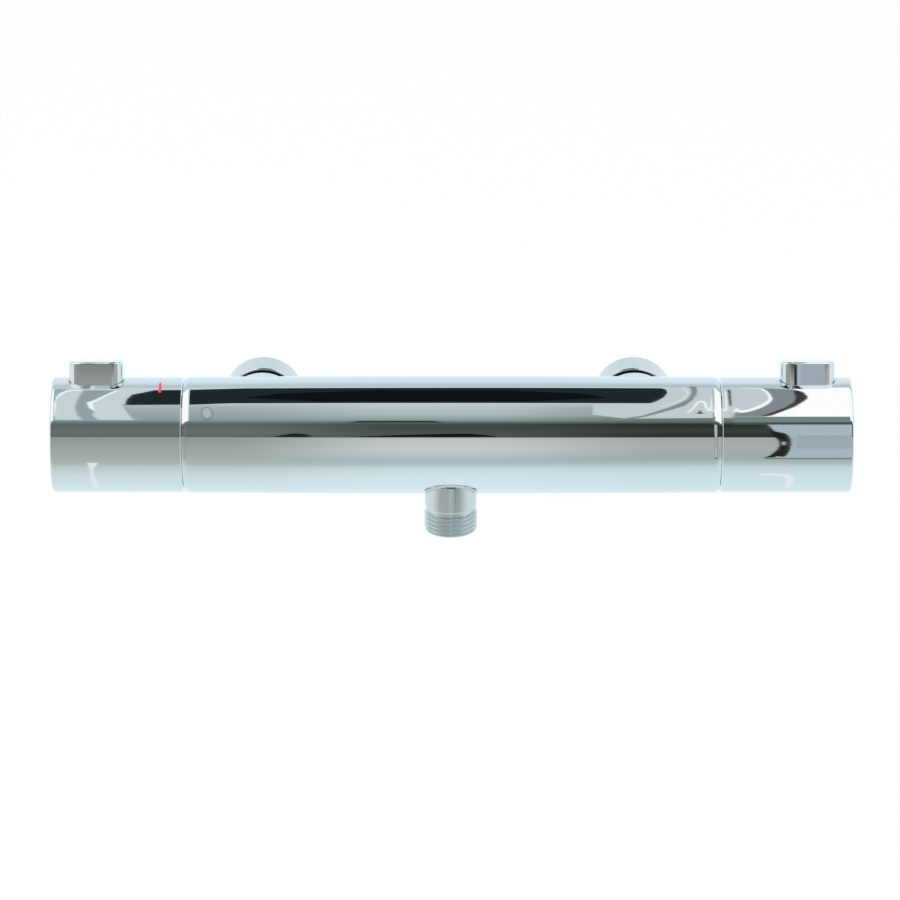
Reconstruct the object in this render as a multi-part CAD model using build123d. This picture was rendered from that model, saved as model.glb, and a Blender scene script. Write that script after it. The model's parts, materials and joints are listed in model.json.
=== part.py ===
from build123d import *
import math
import os

# Thermostatic bar mixer for a shower, in millimetres.
# X runs along the bar, +X to the right of someone facing it. -Y is the front, +Y the wall, +Z up.
# Everything is modelled with the bar's axis on X, and moved at the end so that the origin
# lies midway between the two inlet seals.

# Bar
inlet_centres = 150.0
inlet_shift = 1.3
axis_to_seal = 37.0
handle_d = 46.0
barrel_length = 213.0
barrel_end_d = handle_d + 0.2
barrel_crown_d = barrel_end_d + 0.8
barrel_edge_length = 3.0
barrel_edge_drop = 0.7
casting_wall = 3.0
tube_wall = 2.5
channel_wall = 2.2
jacket_end_wall = 4.0
spigot_length = 14.0
spigot_step = 3.0
spigot_d = handle_d - 2 * spigot_step
running_clearance = 0.05
thread_clearance = 0.05
seal_clearance = 0.02
ring_depth = 1.1
small_ring_depth = 0.9
groove_stretch = 1.35

# Temperature cartridge, left end of the bar
nut_bore_wall = 3.0
nut_bore_d = spigot_d - 2 * nut_bore_wall
nut_bore_depth = 12.5
cartridge_nut_wall = 3.35
key_slot_width = 4.0
key_slot_depth = 2.5
cartridge_step = 0.8
chamber_d = nut_bore_d - 2 * cartridge_step
chamber_depth_past_inlet = 25.0
nose_d = 16.8
nose_length = 8.0
nose_wall = 2.4
nose_ring_depth = 1.0
nose_socket_wall = 2.1
inlet_annulus = 2.2
housing_wall = 2.0
housing_waist_d = chamber_d - 2 * inlet_annulus
housing_bore_d = housing_waist_d - 2 * housing_wall
housing_floor = 2.0
land_width = 6.5
land_gap = 3.0
land_ring_depth = 1.6
window_count = 6
window_width = 8.0
hot_window_length = 8.0
cold_window_length = 7.0
cold_window_gap = 1.5
transfer_hole_d = 5.2
transfer_hole_count = 6
cap_neck_d = 18.0
cap_flange_width = 1.4
cap_flange_thickness = 2.0
cap_reach = 1.5
cap_wall = 3.5
sleeve_wall = 1.5
sleeve_d = housing_bore_d - 2 * cap_wall
sleeve_bore_d = sleeve_d - 2 * sleeve_wall
sleeve_key_width = 2.8
sleeve_key_height = 0.9
sleeve_key_clearance = 0.1
pin_share = 0.425
cup_share = 0.273
tapped_share = 0.205
cap_overlap_share = 0.182
clip_groove_depth = 0.6
clip_groove_width = 0.8
plunger_thickness = 2.0
overtravel_wire = 1.2
shuttle_length = 10.2
shuttle_wall = 1.8
shuttle_web_inset = 3.0
shuttle_web_thickness = 2.5
shuttle_hub_wall = 1.6
shuttle_hole_share = 0.44
wax_bulb_d = 7.2
wax_stem_d = 8.0
wax_flange_width = 1.5
wax_flange_thickness = 3.5
wax_pin_d = 2.8
return_wire = 1.3

# Flow headwork, right end of the bar
stop_ring_width = 6.7
stop_bore_d = spigot_d - 2 * stop_ring_width
spanner_room = 2.3
headwork_hex = stop_bore_d - 2 * spanner_room
headwork_thread_d = headwork_hex - 2.0
headwork_chamber_d = headwork_thread_d + 4.0
headwork_seat_depth = 36.5
headwork_thread_length = 14.0
headwork_flange_depth = 2.5
headwork_reach = 1.5
cage_wall = 1.1
cage_clearance = 0.1
disc_d = headwork_thread_d - 2 * (cage_wall + cage_clearance)
disc_thickness = 4.0
tang_depth = 1.8
tang_width = 3.6
tang_length = 10.0
seat_seal_thickness = 2.5
mixed_passage_d = 13.0

# Spindles and handles
spindle_d = 8.0
journal_d = 9.0
spline_teeth = 18
spline_depth = 0.5
spline_clearance = 0.08
spindle_collar_width = 2.0
spindle_collar_thickness = 3.0
spindle_reach = 10.5
handle_length = 51.9
handle_wall = 2.7
handle_edge_radius = 1.0
handle_mouth_chamfer = 0.3
joint_gap = 0.4
skirt_clearance = 0.8
skirt_depth = 19.1
web_thickness = 3.0
insert_d = 15.0
insert_flange = 1.2
hub_wall = 2.5
screw_d = 4.0
screw_head_d = 7.4
screw_head_height = 2.5
end_cap_inset = 0.2
end_cap_depth = 3.0
end_cap_wall = 1.5
end_cap_chamfer = 0.3

# Buttons, rounded squares in plan with sides that swell a little
button_width = 21.8
button_depth = 19.0
button_corner_radius = 4.5
button_swell = 0.5
button_clearance = 0.3
button_rise = 6.6
button_from_end = 17.35
button_lean = 18.5
button_travel = 3.0
button_wall = 2.0
button_edge_radius = 1.1
well_rim_radius = 0.7
well_wall = 1.8
well_floor_thickness = 2.0
stem_d = 5.0
stem_reach = 2.3
stem_groove_depth = 0.7
stem_clearance = 0.1
button_spring_wire = 0.9
button_spring_room = 2.6
clip_thickness = 0.8
clip_width = 1.8
clip_gap = 0.2
tongue_width = 6.0
tongue_thickness = 2.2
tongue_top = spigot_d / 2 - 2.7
tongue_below_skirt = 0.8
tongue_to_floor = 4.0

# Stop rings
stop_flange_thickness = 1.7
stop_rim_height = 3.5
stop_rim_thickness = 1.3
stop_key_width = 4.0
stop_key_depth = 1.8
stop_key_height = 4.4
stop_lug_angle = 14.0
eco_stop_turn = 45.0
tongue_to_lug = 0.35
tongue_to_flange = 0.3

# Temperature mark
mark_length = 7.3
mark_width = 1.3
mark_depth = 0.3
mark_top_share = 0.6
mark_from_joint = 8.7
mark_forward = 12.0

# Shower outlet
outlet_forward = 7.7
outlet_aside = 0.4
outlet_thread_d = 20.955
outlet_thread_length = 8.6
outlet_end_depth = 37.4
outlet_collar_d = 20.8
outlet_collar_chamfer = 0.5
outlet_relief_d = 18.3
outlet_relief_width = 1.8
outlet_seat_depth = 15.3
outlet_tail_d = 16.0
outlet_tail_length = 3.2
outlet_hex = 12.0
outlet_hex_depth = 10.0
outlet_bore_d = 10.0
outlet_channel_d = 8.0
outlet_channel_radius = 14.0

# Inlets
boss_d = 31.2
boss_reach = 28.0
boss_edge_radius = 0.8
socket_wall = 4.0
tail_thread_d = 17.0
tail_thread_length = 8.0
tail_d = 20.0
tail_bore_d = 11.0
tail_flange_d = 23.2
tail_flange_thickness = 1.95
washer_thickness = 2.0
washer_bore_d = 16.0
screen_d = 18.0
screen_thickness = 0.5
screen_hole_d = 1.5
screen_pitch = 2.5
screen_rings = 3
valve_pocket_d = 15.2
valve_length = 10.5
valve_wall = 1.3
valve_seat_d = 8.4
poppet_d = 10.4
poppet_stem_d = 2.8
poppet_thickness = 1.6
poppet_lift_gap = 0.1
valve_inset = 1.5
valve_lip = 2.0
valve_arm_width = 1.4
valve_arm_depth = 1.8
valve_hub_r = 2.6
nut_d = 31.6
nut_front_wall = 1.7
nut_thread_bore_d = 24.12
nut_thread_past_seal = 0.3
nut_thread_length = 6.6
nut_mouth_chamfer = 0.5
nut_relief_d = 25.0
nut_flats = 30.0
nut_edge_chamfer = 0.8
nut_running_clearance = 0.25

# Places that follow from the sizes above
half_barrel = barrel_length / 2
spigot_end = half_barrel + spigot_length
inlet_x = inlet_centres / 2
chamber_floor = inlet_x - chamber_depth_past_inlet
cartridge_shoulder = spigot_end - nut_bore_depth
headwork_seat = spigot_end - headwork_seat_depth
headwork_flange_seat = spigot_end - headwork_flange_depth
handle_start = half_barrel + joint_gap
handle_end = handle_start + handle_length
web_start = handle_start + skirt_depth
web_end = web_start + web_thickness
spindle_end = spigot_end + spindle_reach
hub_end = spindle_end + hub_wall
button_x = handle_end - button_from_end
skirt_bore_r = spigot_d / 2 + skirt_clearance
cavity_r = handle_d / 2 - handle_wall
button_top = handle_d / 2 + button_rise
button_skirt_bottom = tongue_top - tongue_below_skirt
well_floor_top = tongue_top - tongue_to_floor
well_floor_bottom = well_floor_top - well_floor_thickness
stem_tip = well_floor_bottom - stem_reach
clip_top = well_floor_bottom - clip_gap

along_bar = Plane(origin=(0, 0, 0), x_dir=(0, 1, 0), z_dir=(1, 0, 0))


def lathe(points):
    # A turned piece about Z, from (radius, height) points
    outline = Polyline(*[(radius, 0, height) for radius, height in points], close=True)
    return revolve(make_face(outline.edges()), Axis.Z)


def turned(points):
    # A turned piece about the bar's axis, from (distance outwards, radius) points
    return along_bar * lathe([(radius, place) for place, radius in points])


def tube(start, end, outer_r, inner_r=0.0):
    return turned([(start, inner_r), (start, outer_r), (end, outer_r), (end, inner_r)])


def o_ring(bore_r, groove_r):
    # A ring squeezed between a bore and the floor of its groove
    section_r = (bore_r - groove_r) / 2 - seal_clearance
    return Torus((bore_r + groove_r) / 2, section_r)


def bar_o_ring(place, bore_r, groove_r):
    return along_bar * Pos(0, 0, place) * o_ring(bore_r, groove_r)


def o_ring_groove(place, shaft_r, groove_r):
    # What a turned groove takes away from a shaft, a little wider than its ring
    width = (shaft_r - groove_r) * groove_stretch
    return tube(place - width / 2, place + width / 2, shaft_r + 1, groove_r)


def coil(mean_r, wire_d, length, turns):
    # A compression spring standing on z = 0
    path = Helix(pitch=(length - wire_d) / turns, height=length - wire_d, radius=mean_r)
    section = Plane(origin=path @ 0, z_dir=path % 0) * Circle(wire_d / 2)
    return Pos(0, 0, wire_d / 2) * sweep(section, path=path, is_frenet=True)


def star(outer_r, teeth, depth):
    # The section of a splined shaft: straight teeth round a circle
    points = []
    for step in range(2 * teeth):
        radius = outer_r - depth * (step % 2)
        angle = math.pi * step / teeth
        points.append((radius * math.cos(angle), radius * math.sin(angle)))
    return make_face(Polyline(*points, close=True).edges())


def splined(outer_r, start, end):
    return along_bar * Pos(0, 0, start) * extrude(star(outer_r, spline_teeth, spline_depth), end - start)


def hexagon(across_flats, start, end):
    section = RegularPolygon(across_flats / 2, 6, major_radius=False)
    return along_bar * Pos(0, 0, start) * extrude(section, end - start)


def radial_windows(count, start, end, width, reach):
    # Cutters that pass through a turned wall, evenly round the bar's axis
    cutter = Pos((start + end) / 2, 0, reach / 2) * Box(end - start, width, reach)
    return [Rot(X=360 / count * step) * cutter for step in range(count)]


def eased_edge(outer, inner):
    # Arc that leaves the crown level and drops to the end face
    run = abs(outer[0] - inner[0])
    drop = inner[1] - outer[1]
    radius = (run**2 + drop**2) / (2 * drop)
    half_turn = math.asin(run / radius) / 2
    sign = math.copysign(1, outer[0] - inner[0])
    middle = (inner[0] + sign * radius * math.sin(half_turn), inner[1] - radius * (1 - math.cos(half_turn)))
    return ThreePointArc(outer, middle, inner)


# Outlet: the nipple screws up into a boss set forward of the bar's axis
outlet_axis = Pos(-outlet_aside, -outlet_forward, 0)
outlet_channel_drop = math.sqrt(outlet_channel_radius**2 - outlet_forward**2)
outlet_tail_top = -outlet_seat_depth + outlet_tail_length
outlet_groove_r = outlet_tail_d / 2 - ring_depth
outlet_groove_place = -outlet_seat_depth + outlet_tail_length * 0.55


def inlet_axis(side):
    # Local Z points from the bar's axis to the wall
    return Plane(origin=(side * inlet_x - inlet_shift, 0, 0), x_dir=(1, 0, 0), z_dir=(0, 1, 0))


def body_casting():
    end_r = barrel_end_d / 2
    low_r = end_r - barrel_edge_drop
    crown_start = half_barrel - barrel_edge_length
    spigot_r = spigot_d / 2
    left_arc = eased_edge((-half_barrel, low_r), (-crown_start, end_r))
    crown = ThreePointArc((-crown_start, end_r), (0, barrel_crown_d / 2), (crown_start, end_r))
    right_arc = eased_edge((half_barrel, low_r), (crown_start, end_r))
    rest = Polyline(
        (half_barrel, low_r),
        (half_barrel, spigot_r),
        (spigot_end, spigot_r),
        (spigot_end, 0),
        (-spigot_end, 0),
        (-spigot_end, spigot_r),
        (-half_barrel, spigot_r),
        (-half_barrel, low_r),
    )
    outline = make_face(left_arc.edges() + crown.edges() + right_arc.edges() + rest.edges())
    casting = revolve(outline, Axis.X)
    for side in (-1, 1):
        boss = lathe([(0, 0), (boss_d / 2, 0), (boss_d / 2, boss_reach), (0, boss_reach)])
        boss = fillet(boss.edges().filter_by(GeomType.CIRCLE).group_by(Axis.Z)[-1], boss_edge_radius)
        casting += inlet_axis(side) * boss

    # Cold water jacket round the mixed water tube, cast with the walls that stand in it
    jacket_start = -chamber_floor + 1.5 * jacket_end_wall
    jacket_end = spigot_end - headwork_thread_length - headwork_flange_depth - jacket_end_wall
    nose_tube_end = -chamber_floor + nose_length + jacket_end_wall
    channel_axis = Pos(0, -outlet_forward, -outlet_channel_drop)
    jacket = tube(jacket_start, jacket_end, end_r - casting_wall)
    jacket -= tube(jacket_start, jacket_end, mixed_passage_d / 2 + tube_wall)
    jacket -= tube(jacket_start, nose_tube_end, nose_d / 2 + nose_socket_wall)
    jacket -= tube(headwork_seat - 3, jacket_end, headwork_chamber_d / 2 + tube_wall)
    jacket -= channel_axis * tube(-tube_wall, jacket_end, outlet_channel_d / 2 + channel_wall)
    jacket -= outlet_axis * Pos(0, 0, -end_r / 2 - 4) * Cylinder(outlet_collar_d / 2 + tube_wall, end_r)
    socket_r = tail_thread_d / 2 + socket_wall
    jacket -= inlet_axis(1) * Pos(0, 0, boss_reach - tail_thread_length - socket_wall) * Cylinder(
        socket_r, boss_reach
    )
    casting -= jacket

    # Left bore for the cartridge
    casting -= turned([
        (-spigot_end - 1, 0),
        (-spigot_end - 1, nut_bore_d / 2),
        (-cartridge_shoulder, nut_bore_d / 2),
        (-cartridge_shoulder, chamber_d / 2),
        (-chamber_floor, chamber_d / 2),
        (-chamber_floor, nose_d / 2 + running_clearance),
        (-chamber_floor + nose_length + 1, nose_d / 2 + running_clearance),
        (-chamber_floor + nose_length + 1, 0),
    ])
    transfer_r = (chamber_d / 2 + nose_d / 2 + nose_socket_wall) / 2
    for step in range(transfer_hole_count):
        hole = along_bar * Pos(transfer_r, 0, -chamber_floor + 4) * Cylinder(transfer_hole_d / 2, 12)
        casting -= Rot(X=360 / transfer_hole_count * step) * hole

    # Mixed water runs to the headwork, past its discs, and back to the outlet
    casting -= tube(-chamber_floor, headwork_seat + 1, mixed_passage_d / 2)
    casting -= turned([
        (headwork_seat, 0),
        (headwork_seat, headwork_chamber_d / 2),
        (headwork_flange_seat - headwork_thread_length, headwork_chamber_d / 2),
        (headwork_flange_seat - headwork_thread_length, headwork_thread_d / 2 + thread_clearance),
        (headwork_flange_seat, headwork_thread_d / 2 + thread_clearance),
        (headwork_flange_seat, stop_bore_d / 2 - 0.1),
        (spigot_end + 1, stop_bore_d / 2 - 0.1),
        (spigot_end + 1, 0),
    ])
    casting -= channel_axis * tube(0, headwork_seat + 11, outlet_channel_d / 2)
    casting -= outlet_axis * lathe([
        (0, -barrel_crown_d),
        (outlet_collar_d / 2 + thread_clearance, -barrel_crown_d),
        (outlet_collar_d / 2 + thread_clearance, -outlet_seat_depth),
        (outlet_tail_d / 2 + thread_clearance, -outlet_seat_depth),
        (outlet_tail_d / 2 + thread_clearance, outlet_tail_top + 0.3),
        (0, outlet_tail_top + 0.3),
    ])
    casting -= outlet_axis * Pos(0, 0, -outlet_channel_drop - 2) * Cylinder(outlet_bore_d / 2, 4)

    # Inlet sockets, and the notches that key the stop rings
    for side, bore_end in ((-1, chamber_d / 2 - 3), (1, 0.5 * chamber_d)):
        socket_floor = boss_reach - tail_thread_length - 0.5
        casting -= inlet_axis(side) * lathe([
            (0, bore_end - 3),
            (tail_bore_d / 2, bore_end - 3),
            (tail_bore_d / 2, socket_floor),
            (tail_thread_d / 2 + thread_clearance, socket_floor),
            (tail_thread_d / 2 + thread_clearance, boss_reach + 1),
            (0, boss_reach + 1),
        ])
        for key in stop_keys(running_clearance):
            casting -= key if side > 0 else mirror(key, about=Plane.YZ)
    return casting


def stop_keys(clearance):
    # Two keys on the stop ring, or with a clearance the notches for them
    depth = stop_key_depth + clearance
    width = stop_key_width + 2 * clearance
    key = Pos(spigot_end - depth / 2, 0, spigot_d / 2) * Box(depth, width, stop_key_height + 2 * clearance)
    return [Rot(X=180 * step) * key for step in range(2)]


# Turn between the tongue's middle and the lug's when their sides meet
tongue_meets_lug = stop_lug_angle / 2 + math.degrees(math.asin(tongue_width / 2 / tongue_top)) + 1


def stop_ring(lug_turn):
    # Ring keyed to the bar's end. Its lug hangs inwards just outside the tongue's path
    rim_r = spigot_d / 2
    flange_end = spigot_end + stop_flange_thickness
    rim_end = flange_end + stop_rim_height
    ring = tube(spigot_end, flange_end, rim_r, stop_bore_d / 2)
    ring += tube(flange_end, rim_end, rim_r, rim_r - stop_rim_thickness)
    lug_r = math.hypot(tongue_top, tongue_width / 2) + tongue_to_lug
    lug = tube(flange_end, rim_end, rim_r - stop_rim_thickness / 2, lug_r)
    lug_width = 2 * rim_r * math.tan(math.radians(stop_lug_angle / 2))
    lug &= Pos(spigot_end, 0, rim_r) * Box(3 * rim_r, lug_width, rim_r)
    ring += Rot(X=lug_turn) * lug
    for key in stop_keys(0):
        ring += key & tube(spigot_end - stop_key_depth, spigot_end, rim_r, stop_bore_d / 2)
    return ring


def button_outline(grow):
    # Plan of a button, or of what lies round it, larger or smaller all round
    half_width = button_width / 2 + grow
    half_depth = button_depth / 2 + grow
    corner_x = half_width - button_swell
    corner_y = half_depth - button_swell
    sides = [
        ThreePointArc((-corner_x, -corner_y), (0, -half_depth), (corner_x, -corner_y)),
        ThreePointArc((corner_x, -corner_y), (half_width, 0), (corner_x, corner_y)),
        ThreePointArc((corner_x, corner_y), (0, half_depth), (-corner_x, corner_y)),
        ThreePointArc((-corner_x, corner_y), (-half_width, 0), (-corner_x, -corner_y)),
    ]
    outline = make_face([side.edges()[0] for side in sides])
    return fillet(outline.vertices(), button_corner_radius + grow)


def button_block(grow, bottom, top):
    return Pos(0, 0, bottom) * extrude(button_outline(grow), top - bottom)


def handle():
    # Shell of a handle, upright, its button on top. The web carries the hub and splits it in two
    outer_r = handle_d / 2
    shell = turned([(handle_start, 0), (handle_start, outer_r), (handle_end, outer_r), (handle_end, 0)])
    outer_edge = shell.edges().filter_by(GeomType.CIRCLE).group_by(Axis.X)[-1]
    shell = fillet(outer_edge, handle_edge_radius)
    shell = chamfer(shell.edges().filter_by(GeomType.CIRCLE).group_by(Axis.X)[0], handle_mouth_chamfer)
    mouth = Pos(button_x, 0, 0) * button_block(button_clearance, well_floor_top, handle_d)
    shell -= mouth
    rim = [edge for edge in shell.edges() if edge.geom_type != GeomType.CIRCLE and on_mouth(edge)]
    shell = fillet(rim, well_rim_radius)
    shell -= tube(handle_start - 1, web_start, skirt_bore_r)
    cavity = tube(web_end, handle_end + 1, cavity_r)
    cavity -= tube(web_end, hub_end, insert_d / 2 + hub_wall)
    cavity -= Pos(button_x, 0, 0) * button_block(button_clearance + well_wall, well_floor_bottom, handle_d)
    shell -= cavity
    shell -= Pos(button_x, 0, well_floor_top) * Cylinder(stem_d / 2 + stem_clearance, 3 * well_floor_thickness)
    slot_width = tongue_width + 2 * button_clearance
    slot_top = tongue_top + button_clearance
    slot_bottom = tongue_top - tongue_thickness - button_travel - button_clearance
    slot_start = web_start - 1
    slot_end = tongue_end + button_clearance
    shell -= Pos((slot_start + slot_end) / 2, 0, (slot_top + slot_bottom) / 2) * Box(
        slot_end - slot_start, slot_width, slot_top - slot_bottom
    )
    shell -= tube(web_start - 1, spindle_end + 0.5, insert_d / 2 + running_clearance)
    shell -= tube(spindle_end, hub_end + 1, screw_d / 2 + 0.2)
    return shell


def on_mouth(edge):
    # True for an edge where the button's well breaks through the round of the handle
    middle = edge.position_at(0.5)
    return abs(math.hypot(middle.Y, middle.Z) - handle_d / 2) < 0.01 and abs(middle.X - button_x) < button_width


# The tongue runs from just outside the stop ring's flange into the button's wall
tongue_start = spigot_end + stop_flange_thickness + tongue_to_flange
tongue_end = button_x - button_width / 2 + button_wall * 0.75


def button():
    # Moulded cap with a stem that the spring sits round, and a tongue that reaches the stop ring
    cap = button_block(0, button_skirt_bottom, button_top)
    cap = fillet(cap.faces().sort_by(Axis.Z)[-1].edges(), button_edge_radius)
    cap -= button_block(-button_wall, button_skirt_bottom - 1, button_top - button_wall)
    groove_r = stem_d / 2 - stem_groove_depth
    cap += lathe([
        (0, stem_tip),
        (stem_d / 2, stem_tip),
        (stem_d / 2, clip_top - clip_thickness),
        (groove_r, clip_top - clip_thickness),
        (groove_r, clip_top),
        (stem_d / 2, clip_top),
        (stem_d / 2, button_top - button_wall / 2),
        (0, button_top - button_wall / 2),
    ])
    cap = Pos(button_x, 0, 0) * cap
    cap += Pos((tongue_start + tongue_end) / 2, 0, tongue_top - tongue_thickness / 2) * Box(
        tongue_end - tongue_start, tongue_width, tongue_thickness
    )
    return cap


def button_spring():
    length = button_top - button_wall - well_floor_top
    return Pos(button_x, 0, well_floor_top) * coil(stem_d / 2 + button_spring_room, button_spring_wire, length, 6)


def button_clip():
    # Open washer snapped into the stem's groove, under the floor of the well
    inner_r = stem_d / 2 - stem_groove_depth + seal_clearance
    ring = Cylinder(stem_d / 2 + clip_width, clip_thickness - 2 * seal_clearance) - Cylinder(inner_r, 2)
    mouth = Pos(stem_d, 0, 0) * Box(2 * stem_d, 2 * inner_r * 0.9, 2)
    return Pos(button_x, 0, clip_top - clip_thickness / 2) * (ring - mouth)


def spline_insert():
    # Bush between the splined spindle and the handle's hub
    bush = tube(web_start - 1.5, spindle_end + 0.4, insert_d / 2)
    bush += tube(web_start - 1.5, web_start - running_clearance, insert_d / 2 + insert_flange)
    return bush - splined(spindle_d / 2 + spline_clearance, web_start - 2, spindle_end + 1)


def handle_screw():
    head_end = hub_end + screw_head_height
    screw = tube(hub_end, head_end, screw_head_d / 2)
    screw += tube(spindle_end - 8, hub_end, screw_d / 2 - thread_clearance)
    return screw - hexagon(3.0, head_end - 1.6, head_end + 1)


def end_cap():
    # Shallow cup pressed into the handle's open end
    outer_r = cavity_r - running_clearance
    face = handle_end - end_cap_inset
    cap = turned([
        (face, 0),
        (face, outer_r),
        (face - end_cap_depth, outer_r),
        (face - end_cap_depth, outer_r - end_cap_wall),
        (face - end_cap_wall, outer_r - end_cap_wall),
        (face - end_cap_wall, 0),
    ])
    rim = cap.edges().filter_by(GeomType.CIRCLE).group_by(Axis.X)[-1]
    return chamfer(rim, end_cap_chamfer)


def splined_end():
    return splined(spindle_d / 2, web_start - 2.5, spindle_end)


def screw_bore():
    return tube(spindle_end - 9, spindle_end + 1, screw_d / 2)


# Cartridge, with its places measured outwards from the middle of the bar
nose_end = chamber_floor - nose_length
cold_window_start = chamber_floor + housing_floor + cold_window_gap
cold_window = (cold_window_start, cold_window_start + cold_window_length)
hot_window = (inlet_x - hot_window_length / 2, inlet_x + hot_window_length / 2)
divider_land = (hot_window[0] - land_gap - land_width, hot_window[0] - land_gap)
upper_land = (hot_window[1] + land_gap, hot_window[1] + land_gap + land_width)
shuttle_start = divider_land[0] - 1.5
shuttle_end = shuttle_start + shuttle_length
web_place = shuttle_start + shuttle_web_inset
hub_top = shuttle_end - 1.7
land_r = chamber_d / 2 - running_clearance
land_groove_r = land_r - land_ring_depth
housing_end = cartridge_shoulder + 2
cap_flange_end = housing_end + cap_flange_thickness
thrust_face = cap_flange_end + 0.5
cap_end = spigot_end + cap_reach
spindle_groove_place = (thrust_face + cap_end) / 2

# The pin, the sleeve's cup and its tapped end share the room between the shuttle and the spindle's collar
sleeve_room = thrust_face - hub_top
pin_tip = hub_top + pin_share * sleeve_room
sleeve_start = pin_tip - 1.2
sleeve_cup_end = sleeve_start + cup_share * sleeve_room
sleeve_end = sleeve_cup_end + tapped_share * sleeve_room
cap_start = sleeve_start + cap_overlap_share * sleeve_room


def cartridge_housing():
    nose_bore_r = nose_d / 2 - nose_wall
    waist_r = housing_waist_d / 2
    floor_top = chamber_floor + housing_floor
    flange_r = nut_bore_d / 2 - 0.1
    housing = turned([
        (nose_end, nose_bore_r),
        (nose_end, nose_d / 2),
        (chamber_floor, nose_d / 2),
        (chamber_floor, land_r - 0.5),
        (floor_top, land_r - 0.5),
        (floor_top, waist_r),
        (divider_land[0], waist_r),
        (divider_land[0], land_r),
        (divider_land[1], land_r),
        (divider_land[1], waist_r),
        (upper_land[0], waist_r),
        (upper_land[0], land_r),
        (upper_land[1], land_r),
        (upper_land[1], waist_r + 0.5),
        (cartridge_shoulder, waist_r + 0.5),
        (cartridge_shoulder, flange_r),
        (housing_end, flange_r),
        (housing_end, housing_bore_d / 2),
        (floor_top, housing_bore_d / 2),
        (floor_top, nose_bore_r),
    ])
    housing -= o_ring_groove(nose_end + nose_length / 2, nose_d / 2, nose_d / 2 - nose_ring_depth)
    for land in (divider_land, upper_land):
        housing -= o_ring_groove(sum(land) / 2, land_r, land_groove_r)
    for start, end in (cold_window, hot_window):
        for cutter in radial_windows(window_count, start, end, window_width, land_r):
            housing -= cutter - tube(start - 1, end + 1, housing_bore_d / 2 - 1)
    return housing


def cartridge_cap():
    # Screwed into the housing. It guides the sleeve and carries the spindle
    flange_r = housing_bore_d / 2 + cap_flange_width
    cap = turned([
        (cap_start, sleeve_d / 2 + running_clearance),
        (cap_start, housing_bore_d / 2 - thread_clearance),
        (housing_end, housing_bore_d / 2 - thread_clearance),
        (housing_end, flange_r),
        (cap_flange_end, flange_r),
        (cap_flange_end, cap_neck_d / 2),
        (cap_end, cap_neck_d / 2),
        (cap_end, journal_d / 2 + running_clearance),
        (thrust_face, journal_d / 2 + running_clearance),
        (thrust_face, sleeve_d / 2 + running_clearance),
    ])
    # Two grooves keep the sleeve from turning
    groove_width = sleeve_key_width + 2 * sleeve_key_clearance
    groove_reach = sleeve_d / 2 + sleeve_key_height + 2 * sleeve_key_clearance
    for cutter in radial_windows(2, cap_start - 1, thrust_face - 1, groove_width, groove_reach):
        cap -= cutter
    return cap


def cartridge_nut():
    # Clamping ring in the mouth of the bore, with four slots for a pin key
    outer_r = nut_bore_d / 2 - thread_clearance
    nut_end = spigot_end - 1
    nut = tube(housing_end, nut_end, outer_r, outer_r - cartridge_nut_wall)
    for cutter in radial_windows(4, nut_end - key_slot_depth, spigot_end, key_slot_width, nut_bore_d):
        nut -= cutter
    return nut


def temperature_spindle():
    collar_start = thrust_face - spindle_collar_thickness
    spindle = tube(sleeve_cup_end + 3, collar_start, spindle_d / 2)
    spindle += tube(collar_start, thrust_face - running_clearance, spindle_d / 2 + spindle_collar_width)
    spindle += tube(thrust_face - 1, web_start - 2.5, journal_d / 2)
    spindle -= o_ring_groove(spindle_groove_place, journal_d / 2, journal_d / 2 - small_ring_depth)
    return spindle + splined_end() - screw_bore()


# Where the overtravel spring's clip and plunger lie in the sleeve's cup
clip_groove_start = sleeve_start + 0.3
clip_groove_end = clip_groove_start + clip_groove_width
plunger_start = clip_groove_end + 0.1
plunger_end = plunger_start + plunger_thickness


def adjusting_sleeve():
    # Cup for the overtravel spring, tapped for the spindle, with two keys that stop it turning
    sleeve = turned([
        (sleeve_start, sleeve_bore_d / 2),
        (sleeve_start, sleeve_d / 2),
        (sleeve_end, sleeve_d / 2),
        (sleeve_end, spindle_d / 2 + running_clearance),
        (sleeve_cup_end, spindle_d / 2 + running_clearance),
        (sleeve_cup_end, sleeve_bore_d / 2),
    ])
    key_reach = sleeve_d / 2 + sleeve_key_height
    for cutter in radial_windows(2, cap_start + 3, sleeve_end - 1, sleeve_key_width, key_reach):
        sleeve += cutter - tube(cap_start, sleeve_end, sleeve_d / 2 - 0.5)
    return sleeve - tube(clip_groove_start, clip_groove_end, sleeve_bore_d / 2 + clip_groove_depth)


def overtravel_clip():
    start = clip_groove_start + seal_clearance
    end = clip_groove_end - seal_clearance
    ring = tube(start, end, sleeve_bore_d / 2 + clip_groove_depth - running_clearance, sleeve_bore_d / 2 - 1)
    return ring - Pos(start, 0, sleeve_bore_d / 2) * Box(6, 4, 6)


def overtravel_plunger():
    return tube(plunger_start, plunger_end, sleeve_bore_d / 2 - running_clearance)


def overtravel_spring():
    spring = coil(sleeve_bore_d / 2 - 1.4, overtravel_wire, sleeve_cup_end - plunger_end, 4.5)
    return along_bar * Pos(0, 0, plunger_end) * spring


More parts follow.
